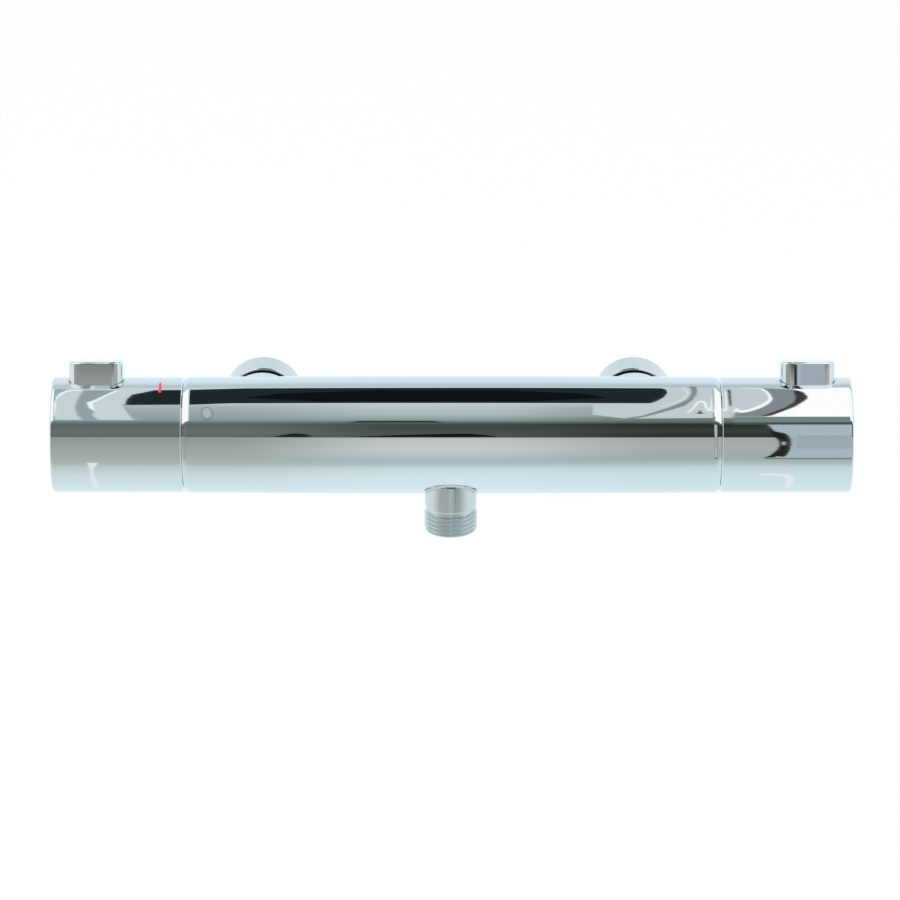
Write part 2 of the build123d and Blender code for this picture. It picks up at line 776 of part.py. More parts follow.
def wax_element():
    # Bulb in the mixed water, flange on the shuttle's hub, and the pin that the wax drives out
    bulb_start = nose_end + 3
    flange_end = hub_top + wax_flange_thickness
    guide_end = flange_end + wax_flange_thickness * 1.85
    stem_r = wax_stem_d / 2
    return turned([
        (bulb_start, 0),
        (bulb_start, wax_bulb_d / 2 - 0.8),
        (bulb_start + 0.8, wax_bulb_d / 2),
        (web_place - 1, wax_bulb_d / 2),
        (web_place - 1, stem_r),
        (hub_top, stem_r),
        (hub_top, stem_r + wax_flange_width),
        (flange_end, stem_r + wax_flange_width),
        (flange_end, stem_r * 0.75),
        (guide_end, stem_r * 0.6),
        (guide_end, wax_pin_d / 2),
        (pin_tip, wax_pin_d / 2),
        (pin_tip, 0),
    ])


def shuttle_piston():
    outer_r = housing_bore_d / 2 - running_clearance
    inner_r = outer_r - shuttle_wall
    hub_r = wax_stem_d / 2 + shuttle_hub_wall
    shuttle = tube(shuttle_start, shuttle_end, outer_r, inner_r)
    web = tube(web_place, web_place + shuttle_web_thickness, inner_r + 0.8)
    hole_r = (inner_r - hub_r) * shuttle_hole_share
    for step in range(4):
        hole = along_bar * Pos((inner_r + hub_r) / 2, 0, web_place + 1) * Cylinder(hole_r, 2 * shuttle_web_thickness)
        web -= Rot(X=90 * step + 45) * hole
    shuttle += web
    shuttle += tube(web_place, hub_top, hub_r)
    return shuttle - tube(web_place - 1, hub_top + 1, wax_stem_d / 2 + seal_clearance)


def return_spring():
    start = chamber_floor + housing_floor
    mean_r = (housing_bore_d / 2 + wax_bulb_d / 2) / 2 + 0.6
    return along_bar * Pos(0, 0, start) * coil(mean_r, return_wire, web_place - start, 3.5)


# Headwork, with its places measured outwards from the middle of the bar
fixed_disc_start = headwork_seat + seat_seal_thickness
moving_disc_start = fixed_disc_start + disc_thickness
moving_disc_end = moving_disc_start + disc_thickness
cage_end = moving_disc_end + 5
headwork_end = spigot_end + headwork_reach
cage_bore_r = disc_d / 2 + cage_clearance
headwork_groove_place = headwork_flange_seat - 2.2
headwork_spindle_groove_place = headwork_flange_seat - 5


def disc(start, clearance):
    # Ceramic disc with two opposite ports
    plate = tube(start + clearance, start + disc_thickness, disc_d / 2)
    for side in (-1, 1):
        port = SlotArc(CenterArc((0, 0), disc_d / 2 * 0.56, -30, 60), disc_d * 0.22)
        plate -= along_bar * Rot(Z=90 * (1 + side)) * Pos(0, 0, start - 1) * extrude(port, disc_thickness + 2)
    return plate


def drive_tang(clearance):
    depth = tang_depth + clearance
    return Pos(moving_disc_end - depth / 2, 0, 0) * Box(depth, tang_width + 2 * clearance, tang_length + 2 * clearance)


def fixed_disc():
    return disc(fixed_disc_start, 0)


def moving_disc():
    return disc(moving_disc_start, running_clearance / 2) - drive_tang(running_clearance)


def disc_seat_seal():
    return tube(headwork_seat, fixed_disc_start, disc_d / 2 - 0.2, mixed_passage_d / 2)


def headwork_body():
    outer_r = headwork_thread_d / 2
    thread_start = headwork_flange_seat - headwork_thread_length
    body = turned([
        (headwork_seat + 1, cage_bore_r),
        (headwork_seat + 1, outer_r),
        (headwork_end, outer_r),
        (headwork_end, journal_d / 2 + running_clearance),
        (cage_end, journal_d / 2 + running_clearance),
        (cage_end, cage_bore_r),
    ])
    body += hexagon(headwork_hex, headwork_flange_seat, headwork_end) - tube(
        headwork_flange_seat - 1, headwork_end + 1, outer_r - 1
    )
    for cutter in radial_windows(4, moving_disc_start + 1, moving_disc_end + 3, 8.0, outer_r + 1):
        body -= cutter - tube(moving_disc_start, cage_end, cage_bore_r - 1)
    body -= tube(thread_start - 1.5, thread_start, outer_r + 1, outer_r - 0.7)
    return body - o_ring_groove(headwork_groove_place, outer_r, outer_r - ring_depth)


def headwork_spindle():
    spindle = tube(moving_disc_end + running_clearance, cage_end - 1, disc_d / 2 - 1.5)
    spindle += drive_tang(0) + Pos(moving_disc_end + 0.5, 0, 0) * Box(1, tang_width, tang_length)
    spindle += tube(cage_end - 2, web_start - 2.5, journal_d / 2)
    spindle -= o_ring_groove(headwork_spindle_groove_place, journal_d / 2, journal_d / 2 - small_ring_depth)
    spindle -= tube(headwork_end + 0.2, headwork_end + 1.0, journal_d, journal_d / 2 - 0.7)
    return spindle + splined_end() - screw_bore()


def headwork_spindle_clip():
    ring = tube(headwork_end + 0.22, headwork_end + 0.98, journal_d / 2 + 1.5, journal_d / 2 - 0.68)
    return ring - Pos(headwork_end, 0, journal_d / 2) * Box(6, journal_d * 0.75, journal_d / 2)


# Outlet nipple
thread_top = outlet_end_depth - outlet_thread_length
relief_top = thread_top - outlet_relief_width


def outlet_nipple():
    thread_r = outlet_thread_d / 2
    collar_r = outlet_collar_d / 2
    relief_r = outlet_relief_d / 2
    nipple = lathe([
        (outlet_bore_d / 2, outlet_tail_top),
        (outlet_tail_d / 2, outlet_tail_top),
        (outlet_tail_d / 2, -outlet_seat_depth),
        (collar_r - outlet_collar_chamfer, -outlet_seat_depth),
        (collar_r, -outlet_seat_depth - outlet_collar_chamfer),
        (collar_r, -relief_top + outlet_collar_chamfer),
        (collar_r - outlet_collar_chamfer, -relief_top),
        (relief_r, -relief_top),
        (relief_r, -thread_top),
        (thread_r - 0.5, -thread_top),
        (thread_r, -thread_top - 0.5),
        (thread_r, -outlet_end_depth + 0.8),
        (thread_r - 0.8, -outlet_end_depth),
        (outlet_bore_d / 2, -outlet_end_depth),
    ])
    groove_width = ring_depth * groove_stretch
    nipple -= Pos(0, 0, outlet_groove_place) * (
        Cylinder(outlet_tail_d, groove_width) - Cylinder(outlet_groove_r, groove_width)
    )
    key_socket = extrude(RegularPolygon(outlet_hex / 2, 6, major_radius=False), outlet_hex_depth)
    nipple -= Pos(0, 0, -outlet_end_depth) * key_socket
    return outlet_axis * nipple


def outlet_o_ring():
    return outlet_axis * Pos(0, 0, outlet_groove_place) * o_ring(outlet_tail_d / 2 + thread_clearance, outlet_groove_r)


# Inlets, with their heights measured back from the bar's axis
flange_face = axis_to_seal - washer_thickness
flange_front = flange_face - tail_flange_thickness
nut_shoulder = flange_face - 2.0
nut_front = nut_shoulder - nut_front_wall
nut_thread_start = axis_to_seal + nut_thread_past_seal
nut_back = nut_thread_start + nut_thread_length + nut_mouth_chamfer
valve_end = flange_face - valve_inset
valve_start = valve_end - valve_length
valve_seat = valve_end - valve_lip
valve_guide_top = valve_start + valve_arm_depth
poppet_top = valve_seat - poppet_lift_gap
poppet_under = poppet_top - poppet_thickness
tail_groove_place = boss_reach - tail_thread_length + 1.6


def inlet_tail():
    groove_r = tail_thread_d / 2 - ring_depth
    tail = lathe([
        (tail_bore_d / 2, boss_reach - tail_thread_length),
        (tail_thread_d / 2, boss_reach - tail_thread_length),
        (tail_thread_d / 2, boss_reach),
        (tail_d / 2, boss_reach),
        (tail_d / 2, flange_front),
        (tail_flange_d / 2, flange_front),
        (tail_flange_d / 2, flange_face),
        (valve_pocket_d / 2, flange_face),
        (valve_pocket_d / 2, valve_start),
        (tail_bore_d / 2, valve_start),
    ])
    groove_width = ring_depth * groove_stretch
    groove = Cylinder(tail_d, groove_width) - Cylinder(groove_r, groove_width)
    return tail - Pos(0, 0, tail_groove_place) * groove


def inlet_o_ring():
    return Pos(0, 0, tail_groove_place) * o_ring(tail_thread_d / 2 + thread_clearance, tail_thread_d / 2 - ring_depth)


def union_nut():
    nut = lathe([
        (tail_d / 2 + nut_running_clearance, nut_front),
        (nut_d / 2 - nut_edge_chamfer, nut_front),
        (nut_d / 2, nut_front + nut_edge_chamfer),
        (nut_d / 2, nut_back - nut_edge_chamfer),
        (nut_d / 2 - nut_edge_chamfer, nut_back),
        (nut_thread_bore_d / 2 + nut_mouth_chamfer, nut_back),
        (nut_thread_bore_d / 2, nut_back - nut_mouth_chamfer),
        (nut_thread_bore_d / 2, nut_thread_start),
        (nut_relief_d / 2, nut_thread_start),
        (nut_relief_d / 2, nut_shoulder),
        (tail_d / 2 + nut_running_clearance, nut_shoulder),
    ])
    return nut & (Pos(0, 0, (nut_front + nut_back) / 2) * Box(nut_flats, 2 * nut_d, 2 * nut_d))


def filter_washer():
    # Rubber ring with a step that the screen lies in
    return lathe([
        (washer_bore_d / 2, flange_face),
        (tail_flange_d / 2, flange_face),
        (tail_flange_d / 2, axis_to_seal),
        (screen_d / 2 + 0.05, axis_to_seal),
        (screen_d / 2 + 0.05, axis_to_seal - screen_thickness - 0.1),
        (washer_bore_d / 2, axis_to_seal - screen_thickness - 0.1),
    ])


def filter_screen():
    screen = Cylinder(screen_d / 2, screen_thickness)
    for ring in range(screen_rings):
        count = max(1, 6 * ring)
        for step in range(count):
            hole = Pos(ring * screen_pitch, 0, 0) * Cylinder(screen_hole_d / 2, 2)
            screen -= Rot(Z=360 / count * step) * hole
    return Pos(0, 0, axis_to_seal - 0.1 - screen_thickness / 2) * screen


def check_valve_body():
    # Barrel with a seat towards the wall, and three arms that guide the poppet's stem
    outer_r = valve_pocket_d / 2 - running_clearance
    body = lathe([
        (outer_r - valve_wall, valve_start),
        (outer_r, valve_start),
        (outer_r, valve_end),
        (valve_seat_d / 2, valve_end),
        (valve_seat_d / 2, valve_seat),
        (outer_r - valve_wall, valve_seat),
    ])
    for step in range(3):
        arm = Pos(outer_r / 2, 0, (valve_start + valve_guide_top) / 2) * Box(
            outer_r - valve_wall / 2 + 0.05, valve_arm_width, valve_arm_depth
        )
        body += Rot(Z=120 * step) * arm
    hub = Pos(0, 0, (valve_start + valve_guide_top) / 2) * Cylinder(valve_hub_r, valve_arm_depth)
    return body + hub - Pos(0, 0, valve_start) * Cylinder(poppet_stem_d / 2 + 0.1, 10)


def check_valve_poppet():
    return lathe([
        (0, valve_start - 0.5),
        (poppet_stem_d / 2, valve_start - 0.5),
        (poppet_stem_d / 2, poppet_under),
        (poppet_d / 2, poppet_under),
        (poppet_d / 2, poppet_top),
        (0, poppet_top),
    ])


def check_valve_spring():
    length = poppet_under - valve_guide_top
    return Pos(0, 0, valve_guide_top) * coil(poppet_stem_d / 2 + 0.75, 0.45, length, 4)


def mark_patch(outer_r, inner_r):
    # Short bar of enamel across the handle's skirt, tapering to its upper end
    middle_x = handle_start + mark_from_joint
    low_half = mark_width / 2
    top_half = low_half * mark_top_share
    outline = Polyline(
        (middle_x - low_half, -mark_length / 2),
        (middle_x + low_half, -mark_length / 2),
        (middle_x + top_half, mark_length / 2),
        (middle_x - top_half, mark_length / 2),
        close=True,
    )
    column = extrude(make_face(outline.edges()), handle_d)
    patch = tube(handle_start, handle_start + 2 * mark_from_joint, outer_r, inner_r) & column
    return Rot(X=mark_forward + button_lean) * patch


def lean(shape):
    # Both handles rest with their buttons leaning back to the wall
    return Rot(X=-button_lean) * shape


def left(shape):
    return mirror(shape, about=Plane.YZ)


def save(name, shape):
    placed = Pos(inlet_shift, -axis_to_seal, 0) * shape
    export_step(placed, "parts/" + name + ".step")


os.makedirs("parts", exist_ok=True)

save("body_casting", body_casting())
save("outlet_nipple", outlet_nipple())
save("outlet_o_ring", outlet_o_ring())

for name, side in (("hot", -1), ("cold", 1)):
    place = inlet_axis(side)
    save("inlet_tail_" + name, place * inlet_tail())
    save("inlet_o_ring_" + name, place * inlet_o_ring())
    save("union_nut_" + name, place * union_nut())
    save("filter_washer_" + name, place * filter_washer())
    save("filter_screen_" + name, place * filter_screen())
    save("check_valve_body_" + name, place * check_valve_body())
    save("check_valve_poppet_" + name, place * check_valve_poppet())
    save("check_valve_spring_" + name, place * check_valve_spring())

nose_bore_r = nose_d / 2 + running_clearance
land_rings = [bar_o_ring(sum(land) / 2, chamber_d / 2, land_groove_r) for land in (divider_land, upper_land)]
save("cartridge_housing", left(cartridge_housing()))
save("cartridge_nose_o_ring", left(bar_o_ring(nose_end + nose_length / 2, nose_bore_r, nose_d / 2 - nose_ring_depth)))
save("cartridge_o_rings", left(Compound(children=land_rings)))
save("cartridge_cap", left(cartridge_cap()))
save("cartridge_nut", left(cartridge_nut()))
journal_bore_r = journal_d / 2 + running_clearance
journal_groove_r = journal_d / 2 - small_ring_depth
save("temperature_spindle", left(temperature_spindle()))
save("temperature_spindle_o_ring", left(bar_o_ring(spindle_groove_place, journal_bore_r, journal_groove_r)))
save("adjusting_sleeve", left(adjusting_sleeve()))
save("overtravel_clip", left(overtravel_clip()))
save("overtravel_plunger", left(overtravel_plunger()))
save("overtravel_spring", left(overtravel_spring()))
save("wax_element", left(wax_element()))
save("shuttle_piston", left(shuttle_piston()))
save("return_spring", left(return_spring()))

headwork_bore_r = headwork_thread_d / 2 + thread_clearance
save("headwork_body", headwork_body())
save("headwork_o_ring", bar_o_ring(headwork_groove_place, headwork_bore_r, headwork_thread_d / 2 - ring_depth))
save("headwork_spindle", headwork_spindle())
save("headwork_spindle_o_ring", bar_o_ring(headwork_spindle_groove_place, journal_bore_r, journal_groove_r))
save("headwork_spindle_clip", headwork_spindle_clip())
save("moving_disc", moving_disc())
save("fixed_disc", fixed_disc())
save("disc_seat_seal", disc_seat_seal())

handle_shell = handle()
mark_floor_r = handle_d / 2 - mark_depth
save("temperature_handle", left(lean(handle_shell - mark_patch(handle_d, mark_floor_r))))
save("temperature_mark", left(lean(mark_patch(handle_d / 2, mark_floor_r))))
save("flow_handle", lean(handle_shell))
save("temperature_stop_ring", left(stop_ring(-button_lean - tongue_meets_lug)))
save("flow_stop_ring", stop_ring(-button_lean + eco_stop_turn + tongue_meets_lug))
save("safety_button", left(lean(button())))
save("eco_button", lean(button()))
save("safety_button_spring", left(lean(button_spring())))
save("eco_button_spring", lean(button_spring()))
save("safety_button_clip", left(lean(button_clip())))
save("eco_button_clip", lean(button_clip()))
for piece, make in (("spline_insert", spline_insert), ("handle_screw", handle_screw), ("end_cap", end_cap)):
    save("temperature_" + piece, left(make()))
    save("flow_" + piece, make())
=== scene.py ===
import bpy
import json
import math
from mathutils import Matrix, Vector


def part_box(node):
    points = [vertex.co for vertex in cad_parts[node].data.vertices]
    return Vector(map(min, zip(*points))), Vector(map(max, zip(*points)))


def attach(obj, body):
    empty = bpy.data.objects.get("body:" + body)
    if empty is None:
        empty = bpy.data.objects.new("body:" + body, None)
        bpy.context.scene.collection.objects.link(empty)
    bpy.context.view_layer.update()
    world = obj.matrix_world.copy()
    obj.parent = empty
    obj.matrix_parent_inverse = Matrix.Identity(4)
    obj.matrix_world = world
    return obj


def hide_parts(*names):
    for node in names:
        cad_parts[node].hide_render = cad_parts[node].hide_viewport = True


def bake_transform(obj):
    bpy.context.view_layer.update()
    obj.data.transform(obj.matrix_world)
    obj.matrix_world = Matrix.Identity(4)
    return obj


# Bar mixer for a shower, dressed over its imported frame. Sizes are in millimetres until mm turns them
# to metres, angles in degrees
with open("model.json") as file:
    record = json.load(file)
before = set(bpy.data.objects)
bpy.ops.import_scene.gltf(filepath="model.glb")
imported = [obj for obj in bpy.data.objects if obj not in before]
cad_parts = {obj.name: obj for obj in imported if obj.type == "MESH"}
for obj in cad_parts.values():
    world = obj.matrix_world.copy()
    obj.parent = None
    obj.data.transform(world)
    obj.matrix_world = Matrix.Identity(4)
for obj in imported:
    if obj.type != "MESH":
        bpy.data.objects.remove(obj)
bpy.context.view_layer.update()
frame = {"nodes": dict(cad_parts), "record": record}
mm = 0.001
weldGap = 0.002  # points nearer than this are one
cutOver = 1.0  # how far a cutter reaches past what it cuts
leftCap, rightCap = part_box("temperature_end_cap"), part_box("flow_end_cap")
barAxis = (Vector(leftCap[0]) + Vector(rightCap[1])) / 2  # middle of the bar, on its centre line
barWay = Vector((1, 0, 0))
wallWay = Vector((0, 1, 0))
up = Vector((0, 0, 1))
buttonLean = math.radians(18.5)
buttonWay = Vector((0, math.sin(buttonLean), math.cos(buttonLean)))  # out of the handle, leaning to the wall
buttonSide = barWay.cross(buttonWay)
print("frame loaded,", len(frame["nodes"]), "nodes")


# Modelling helpers

def deselectAll():
    if bpy.context.object and bpy.context.object.mode != "OBJECT":
        bpy.ops.object.mode_set(mode="OBJECT")
    bpy.ops.object.select_all(action="DESELECT")


def pick(piece):
    deselectAll()
    piece.select_set(True)
    bpy.context.view_layer.objects.active = piece


def editAll():
    # Edit mode with the whole mesh picked
    bpy.ops.object.mode_set(mode="EDIT")
    bpy.ops.mesh.select_all(action="SELECT")


def leaveEdit():
    bpy.ops.object.mode_set(mode="OBJECT")


def placeInMesh(piece, name):
    # The place goes into the mesh, so that the object sits at the origin
    pick(piece)
    bpy.ops.object.transform_apply(location=True, rotation=True, scale=True)
    piece.name = name
    return piece


def cleanMesh(piece):
    pick(piece)
    editAll()
    bpy.ops.mesh.remove_doubles(threshold=weldGap * mm)
    bpy.ops.mesh.delete_loose()
    bpy.ops.mesh.select_all(action="SELECT")
    bpy.ops.mesh.normals_make_consistent(inside=False)
    leaveEdit()
    return piece


def firstPoint(name, spot=(0, 0, 0)):
    # One vertex, in edit mode, for an outline to be pulled out of
    deselectAll()
    bpy.ops.mesh.primitive_plane_add(size=mm, location=spot)
    piece = placeInMesh(bpy.context.object, name)
    editAll()
    bpy.ops.mesh.merge(type="CENTER")
    return piece


def flatShape(name, spots):
    # One face through a list of places, drawn as a disc whose rim is then moved to them
    deselectAll()
    bpy.ops.mesh.primitive_circle_add(vertices=len(spots), radius=mm, fill_type="NGON")
    piece = placeInMesh(bpy.context.object, name)
    for vertex, spot in zip(piece.data.vertices, spots):
        vertex.co = spot
    editAll()
    return piece


def turnPiece(name, profile, centre, along, out, steps=128, closed=True):
    # Draws half the section point by point as (along, radius), then spins it round like work on a lathe
    piece = firstPoint(name, centre + (along * profile[0][0] + out * profile[0][1]) * mm)
    ends = profile[1:] + profile[:1] if closed else profile[1:]
    for start, end in zip(profile, ends):
        move = (along * (end[0] - start[0]) + out * (end[1] - start[1])) * mm
        bpy.ops.mesh.extrude_region_move(TRANSFORM_OT_translate={"value": move})
    bpy.ops.mesh.select_all(action="SELECT")
    bpy.ops.mesh.spin(steps=steps, angle=2 * math.pi, center=centre, axis=along)
    return cleanMesh(piece)


def arcPoints(centre, radius, startDeg, endDeg, count):
    # A round stretch of a profile, angles measured from the along direction
    points = []
    for step in range(count + 1):
        angle = math.radians(startDeg + (endDeg - startDeg) * step / count)
        points.append((centre[0] + radius * math.cos(angle), centre[1] + radius * math.sin(angle)))
    return points


def stepped(start, steps):
    # Profile of a row of cylinders from a place on, each as (radius, where it ends)
    points = []
    for radius, end in steps:
        points += [(start, radius), (end, radius)]
        start = end
    return points


def plug(name, start, steps, centre, along, out, spinSteps):
    # A solid row of cylinders, for cutting
    points = [(start, 0)] + stepped(start, steps) + [(steps[-1][1], 0)]
    return turnPiece(name, points, centre, along, out, spinSteps, closed=False)


def carve(piece, tool, operation="DIFFERENCE"):
    modifier = piece.modifiers.new("carve", "BOOLEAN")
    modifier.operation = operation
    modifier.solver = "EXACT"
    modifier.object = tool
    pick(piece)
    bpy.ops.object.modifier_apply(modifier=modifier.name)
    bpy.data.objects.remove(tool)


def smoothPiece(piece, angle=32):
    # Smooth over what is round, crisp at real edges, and flat faces that stay flat beside their bevels
    pick(piece)
    bpy.ops.object.shade_smooth_by_angle(angle=math.radians(angle))
    modifier = piece.modifiers.new("weighted", "WEIGHTED_NORMAL")
    modifier.keep_sharp = True
    modifier.weight = 60
    bpy.ops.object.modifier_apply(modifier=modifier.name)


def mirrorCopy(piece, name):
    # The same piece for the other end of the bar
    other = piece.copy()
    other.data = piece.data.copy()
    other.name = name
    bpy.context.collection.objects.link(other)
    pick(other)
    editAll()
    bpy.ops.transform.resize(value=(-1, 1, 1), center_override=barAxis)
    bpy.ops.mesh.normals_make_consistent(inside=False)
    leaveEdit()
    return other


def toothSection(radius, steps, side):
    # Section of the groove between two threads as (radius, along) points, from its (depth, half width) steps
    one = [(radius + depth, side * half) for depth, half in steps]
    other = [(radius + depth, -side * half) for depth, half in reversed(steps)]
    return other[-1:] + one + other[:-1]


def threadTool(name, centre, axis, tooth, pitch, turns, steps=72):
    # A coil with the section of the groove between two threads
    tool = firstPoint(name)
    alongAxis = up if axis == "Z" else wallWay
    spots = [(barWay * radius + alongAxis * along) * mm for radius, along in tooth]
    bpy.ops.transform.translate(value=spots[0])
    for start, end in zip(spots, spots[1:] + spots[:1]):
        bpy.ops.mesh.extrude_region_move(TRANSFORM_OT_translate={"value": end - start})
    bpy.ops.mesh.select_all(action="SELECT")
    bpy.ops.mesh.remove_doubles(threshold=weldGap * mm)
    leaveEdit()
    screw = tool.modifiers.new("screw", "SCREW")
    screw.axis = axis
    screw.screw_offset = pitch * mm
    screw.iterations = turns
    screw.steps = steps
    screw.render_steps = steps
    pick(tool)
    bpy.ops.object.modifier_apply(modifier=screw.name)
    editAll()
    bpy.ops.mesh.fill_holes(sides=0)
    bpy.ops.mesh.select_all(action="SELECT")
    bpy.ops.mesh.normals_make_consistent(inside=False)
    leaveEdit()
    tool.location = centre
    return placeInMesh(tool, name)


# Materials

def toLinear(hexColour):
    channels = [int(hexColour[place:place + 2], 16) / 255 for place in (1, 3, 5)]
    return [c / 12.92 if c <= 0.04045 else ((c + 0.055) / 1.055) ** 2.4 for c in channels] + [1.0]


def addNode(tree, kind, values=None, links=None, **settings):
    node = tree.nodes.new("ShaderNode" + kind)
    for key, value in settings.items():
        setattr(node, key, value)
    for key, value in (values or {}).items():
        node.inputs[key].default_value = value
    for key, source in (links or {}).items():
        tree.links.new(source, node.inputs[key])
    return node


def newMaterial(name):
    material = bpy.data.materials.new(name)
    material.use_nodes = True
    material.node_tree.nodes.clear()
    return material, material.node_tree


def grainNoise(tree, size, detail):
    # Noise in the piece's own coordinates, with clouds of a size in mm
    place = addNode(tree, "TexCoord").outputs["Object"]
    values = {"Scale": 1 / (size * mm), "Detail": detail}
    return addNode(tree, "TexNoise", values, {"Vector": place}).outputs["Fac"]


def finishSurface(tree, colour, metallic, roughness, grain, bump, extra=None, colourLink=None):
    # Shader with a roughness that wanders over the surface and a fine relief
    cloud = grainNoise(tree, grain["cloudMm"], 3.0)
    rough = addNode(
        tree, "MapRange", {"To Min": roughness[0], "To Max": roughness[1]}, {"Value": cloud}
    )
    fine = grainNoise(tree, grain["fineMm"], 2.0)
    relief = addNode(tree, "Bump", {"Strength": bump[0], "Distance": bump[1] * mm}, {"Height": fine})
    values = {"Metallic": metallic}
    values.update(extra or {})
    links = {"Roughness": rough.outputs["Result"], "Normal": relief.outputs["Normal"]}
    if colourLink:
        links["Base Color"] = colourLink
    else:
        values["Base Color"] = toLinear(colour)
    shader = addNode(tree, "BsdfPrincipled", values, links)
    addNode(tree, "OutputMaterial", links={"Surface": shader.outputs["BSDF"]})
    return shader


# Decorative chromium plate over polished nickel: a blue-white mirror with the faint waviness of buffed brass
chrome = {"colour": "#D9E2E6", "rough": (0.012, 0.035), "cloudMm": 9.6, "fineMm": 26.0, "bump": (0.05, 0.05)}
polishedChrome, chromeTree = newMaterial("polishedChromePlate")
finishSurface(chromeTree, chrome["colour"], 1.0, chrome["rough"], chrome, chrome["bump"])


# Chrome plate on a turned fitting: tool marks run round the axis under the plate and blur the mirror across
turnedPlate = {"colour": "#CFD6D8", "rough": (0.05, 0.13), "lineMm": 0.35, "bump": (0.12, 0.02)}


def turnedChrome(name, axisIndex, centre):
    material, tree = newMaterial(name)
    place = addNode(tree, "TexCoord").outputs["Object"]
    shifted = addNode(tree, "Mapping", {"Location": [-c for c in centre]}, {"Vector": place})
    parts = addNode(tree, "SeparateXYZ", links={"Vector": shifted.outputs["Vector"]})
    lines = addNode(
        tree, "TexNoise", {"W": 0.0, "Scale": 1 / (turnedPlate["lineMm"] * mm), "Detail": 2.0},
        {"W": parts.outputs[axisIndex]}, noise_dimensions="1D",
    ).outputs["Fac"]
    low, high = turnedPlate["rough"]
    rough = addNode(tree, "MapRange", {"To Min": low, "To Max": high}, {"Value": lines})
    strength, depth = turnedPlate["bump"]
    relief = addNode(tree, "Bump", {"Strength": strength, "Distance": depth * mm}, {"Height": lines})
    shader = addNode(
        tree, "BsdfPrincipled", {"Base Color": toLinear(turnedPlate["colour"]), "Metallic": 1.0},
        {"Roughness": rough.outputs["Result"], "Normal": relief.outputs["Normal"]},
    )
    addNode(tree, "OutputMaterial", links={"Surface": shader.outputs["BSDF"]})
    return material


# Stoved enamel in the handle's engraved mark: saturated red, glossy, mottled very slightly
enamel = {
    "tones": ("#D3263F", "#EE4B60"), "toneMm": 1.2, "rough": (0.15, 0.28), "cloudMm": 2.0, "fineMm": 0.6,
    "bump": (0.1, 0.02), "coat": {"Coat Weight": 0.5},
}


def stovedEnamel():
    material, tree = newMaterial("redStovedEnamel")
    ramp = addNode(tree, "ValToRGB", links={"Fac": grainNoise(tree, enamel["toneMm"], 2.0)})
    for stop, tone in zip(ramp.color_ramp.elements, enamel["tones"]):
        stop.color = toLinear(tone)
    red = ramp.outputs["Color"]
    finishSurface(tree, None, 0.0, enamel["rough"], enamel, enamel["bump"], enamel["coat"], red)
    return material


# What lies inside, each from its own stock
insidePieces = {  # colour, metallic, roughness, size of its clouds and of its fine grain in mm
    "turnedBrass": ("#C9A45C", 1.0, (0.18, 0.34), 2.0, 0.25),
    "springSteel": ("#B9BCBE", 1.0, (0.2, 0.38), 1.0, 0.2),
    "blackNitrileRubber": ("#1B1B1C", 0.0, (0.55, 0.75), 1.5, 0.2),
    "blackGlassFilledPps": ("#2A2C2E", 0.0, (0.4, 0.6), 1.0, 0.15),
    "whiteAcetal": ("#DEDED8", 0.0, (0.3, 0.45), 3.0, 0.3),
    "lappedAlumina": ("#E6E3DC", 0.0, (0.1, 0.22), 2.0, 0.2),
    "copperShell": ("#C78462", 1.0, (0.2, 0.36), 2.0, 0.3),
}
insideBump = (0.25, 0.02)
slotMaterials = {}
for name, (colour, metallic, rough, cloudMm, fineMm) in insidePieces.items():
    material, tree = newMaterial(name)
    finishSurface(tree, colour, metallic, rough, {"cloudMm": cloudMm, "fineMm": fineMm}, insideBump)
    slotMaterials[name] = material
stockOf = {
    "turned_brass": "turnedBrass",
    "cartridge_plastic": "blackGlassFilledPps",
    "valve_plastic": "whiteAcetal",
    "stop_ring_plastic": "whiteAcetal",
    "seal_rubber": "blackNitrileRubber",
    "spring_steel": "springSteel",
    "screw_steel": "springSteel",
    "disc_ceramic": "lappedAlumina",
    "wax_copper": "copperShell",
}
for part in frame["record"]["subparts"]:
    node = frame["nodes"][part["node"]]
    stock = stockOf.get(part["material_slot"])
    chosen = slotMaterials[stock] if stock else polishedChrome
    node.data.materials.clear()
    node.data.materials.append(chosen)
print("materials made")


def dress(piece, material, body, slot, *nodes):
    piece.data.materials.clear()
    piece.data.materials.append(material)
    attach(piece, body)
    if nodes:
        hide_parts(*nodes)


def dressBothEnds(piece, otherName, slot, *bodiesAndNodes):
    # The right end's piece and its mirror copy, each with its (body, node)
    for each, (body, node) in zip((piece, mirrorCopy(piece, otherName)), bodiesAndNodes):
        smoothPiece(each)
        dress(each, polishedChrome, body, slot, node)


# The bar: crowned outside, eased at its ends, with the bores that its cartridge and headwork sit in
bar = {
    "length": 213.0, "endRadius": 23.1, "crownRadius": 23.5, "edgeLength": 3.0, "edgeDrop": 0.7,
    "edgeSteps": 10, "spigot": 14.0, "spigotRadius": 20.0, "steps": 256, "crownSteps": 72, "endLoop": 0.5,
    # (radius, where it ends), from the mouth for the headwork to the mouth for the cartridge
    "bores": [(13.2, 118.0), (10.05, 104.0), (12.0, 84.0), (6.5, -41.0), (8.45, -50.0), (16.2, -108.0)],
    "lastBore": 17.0,
}


def crownAt(x):
    # Radius of the bar's outside at a distance from its middle
    flat = bar["length"] / 2 - bar["edgeLength"]
    rise = bar["crownRadius"] - bar["endRadius"]
    sphere = (flat**2 + rise**2) / (2 * rise)
    return bar["crownRadius"] - (sphere - math.sqrt(sphere**2 - x**2))


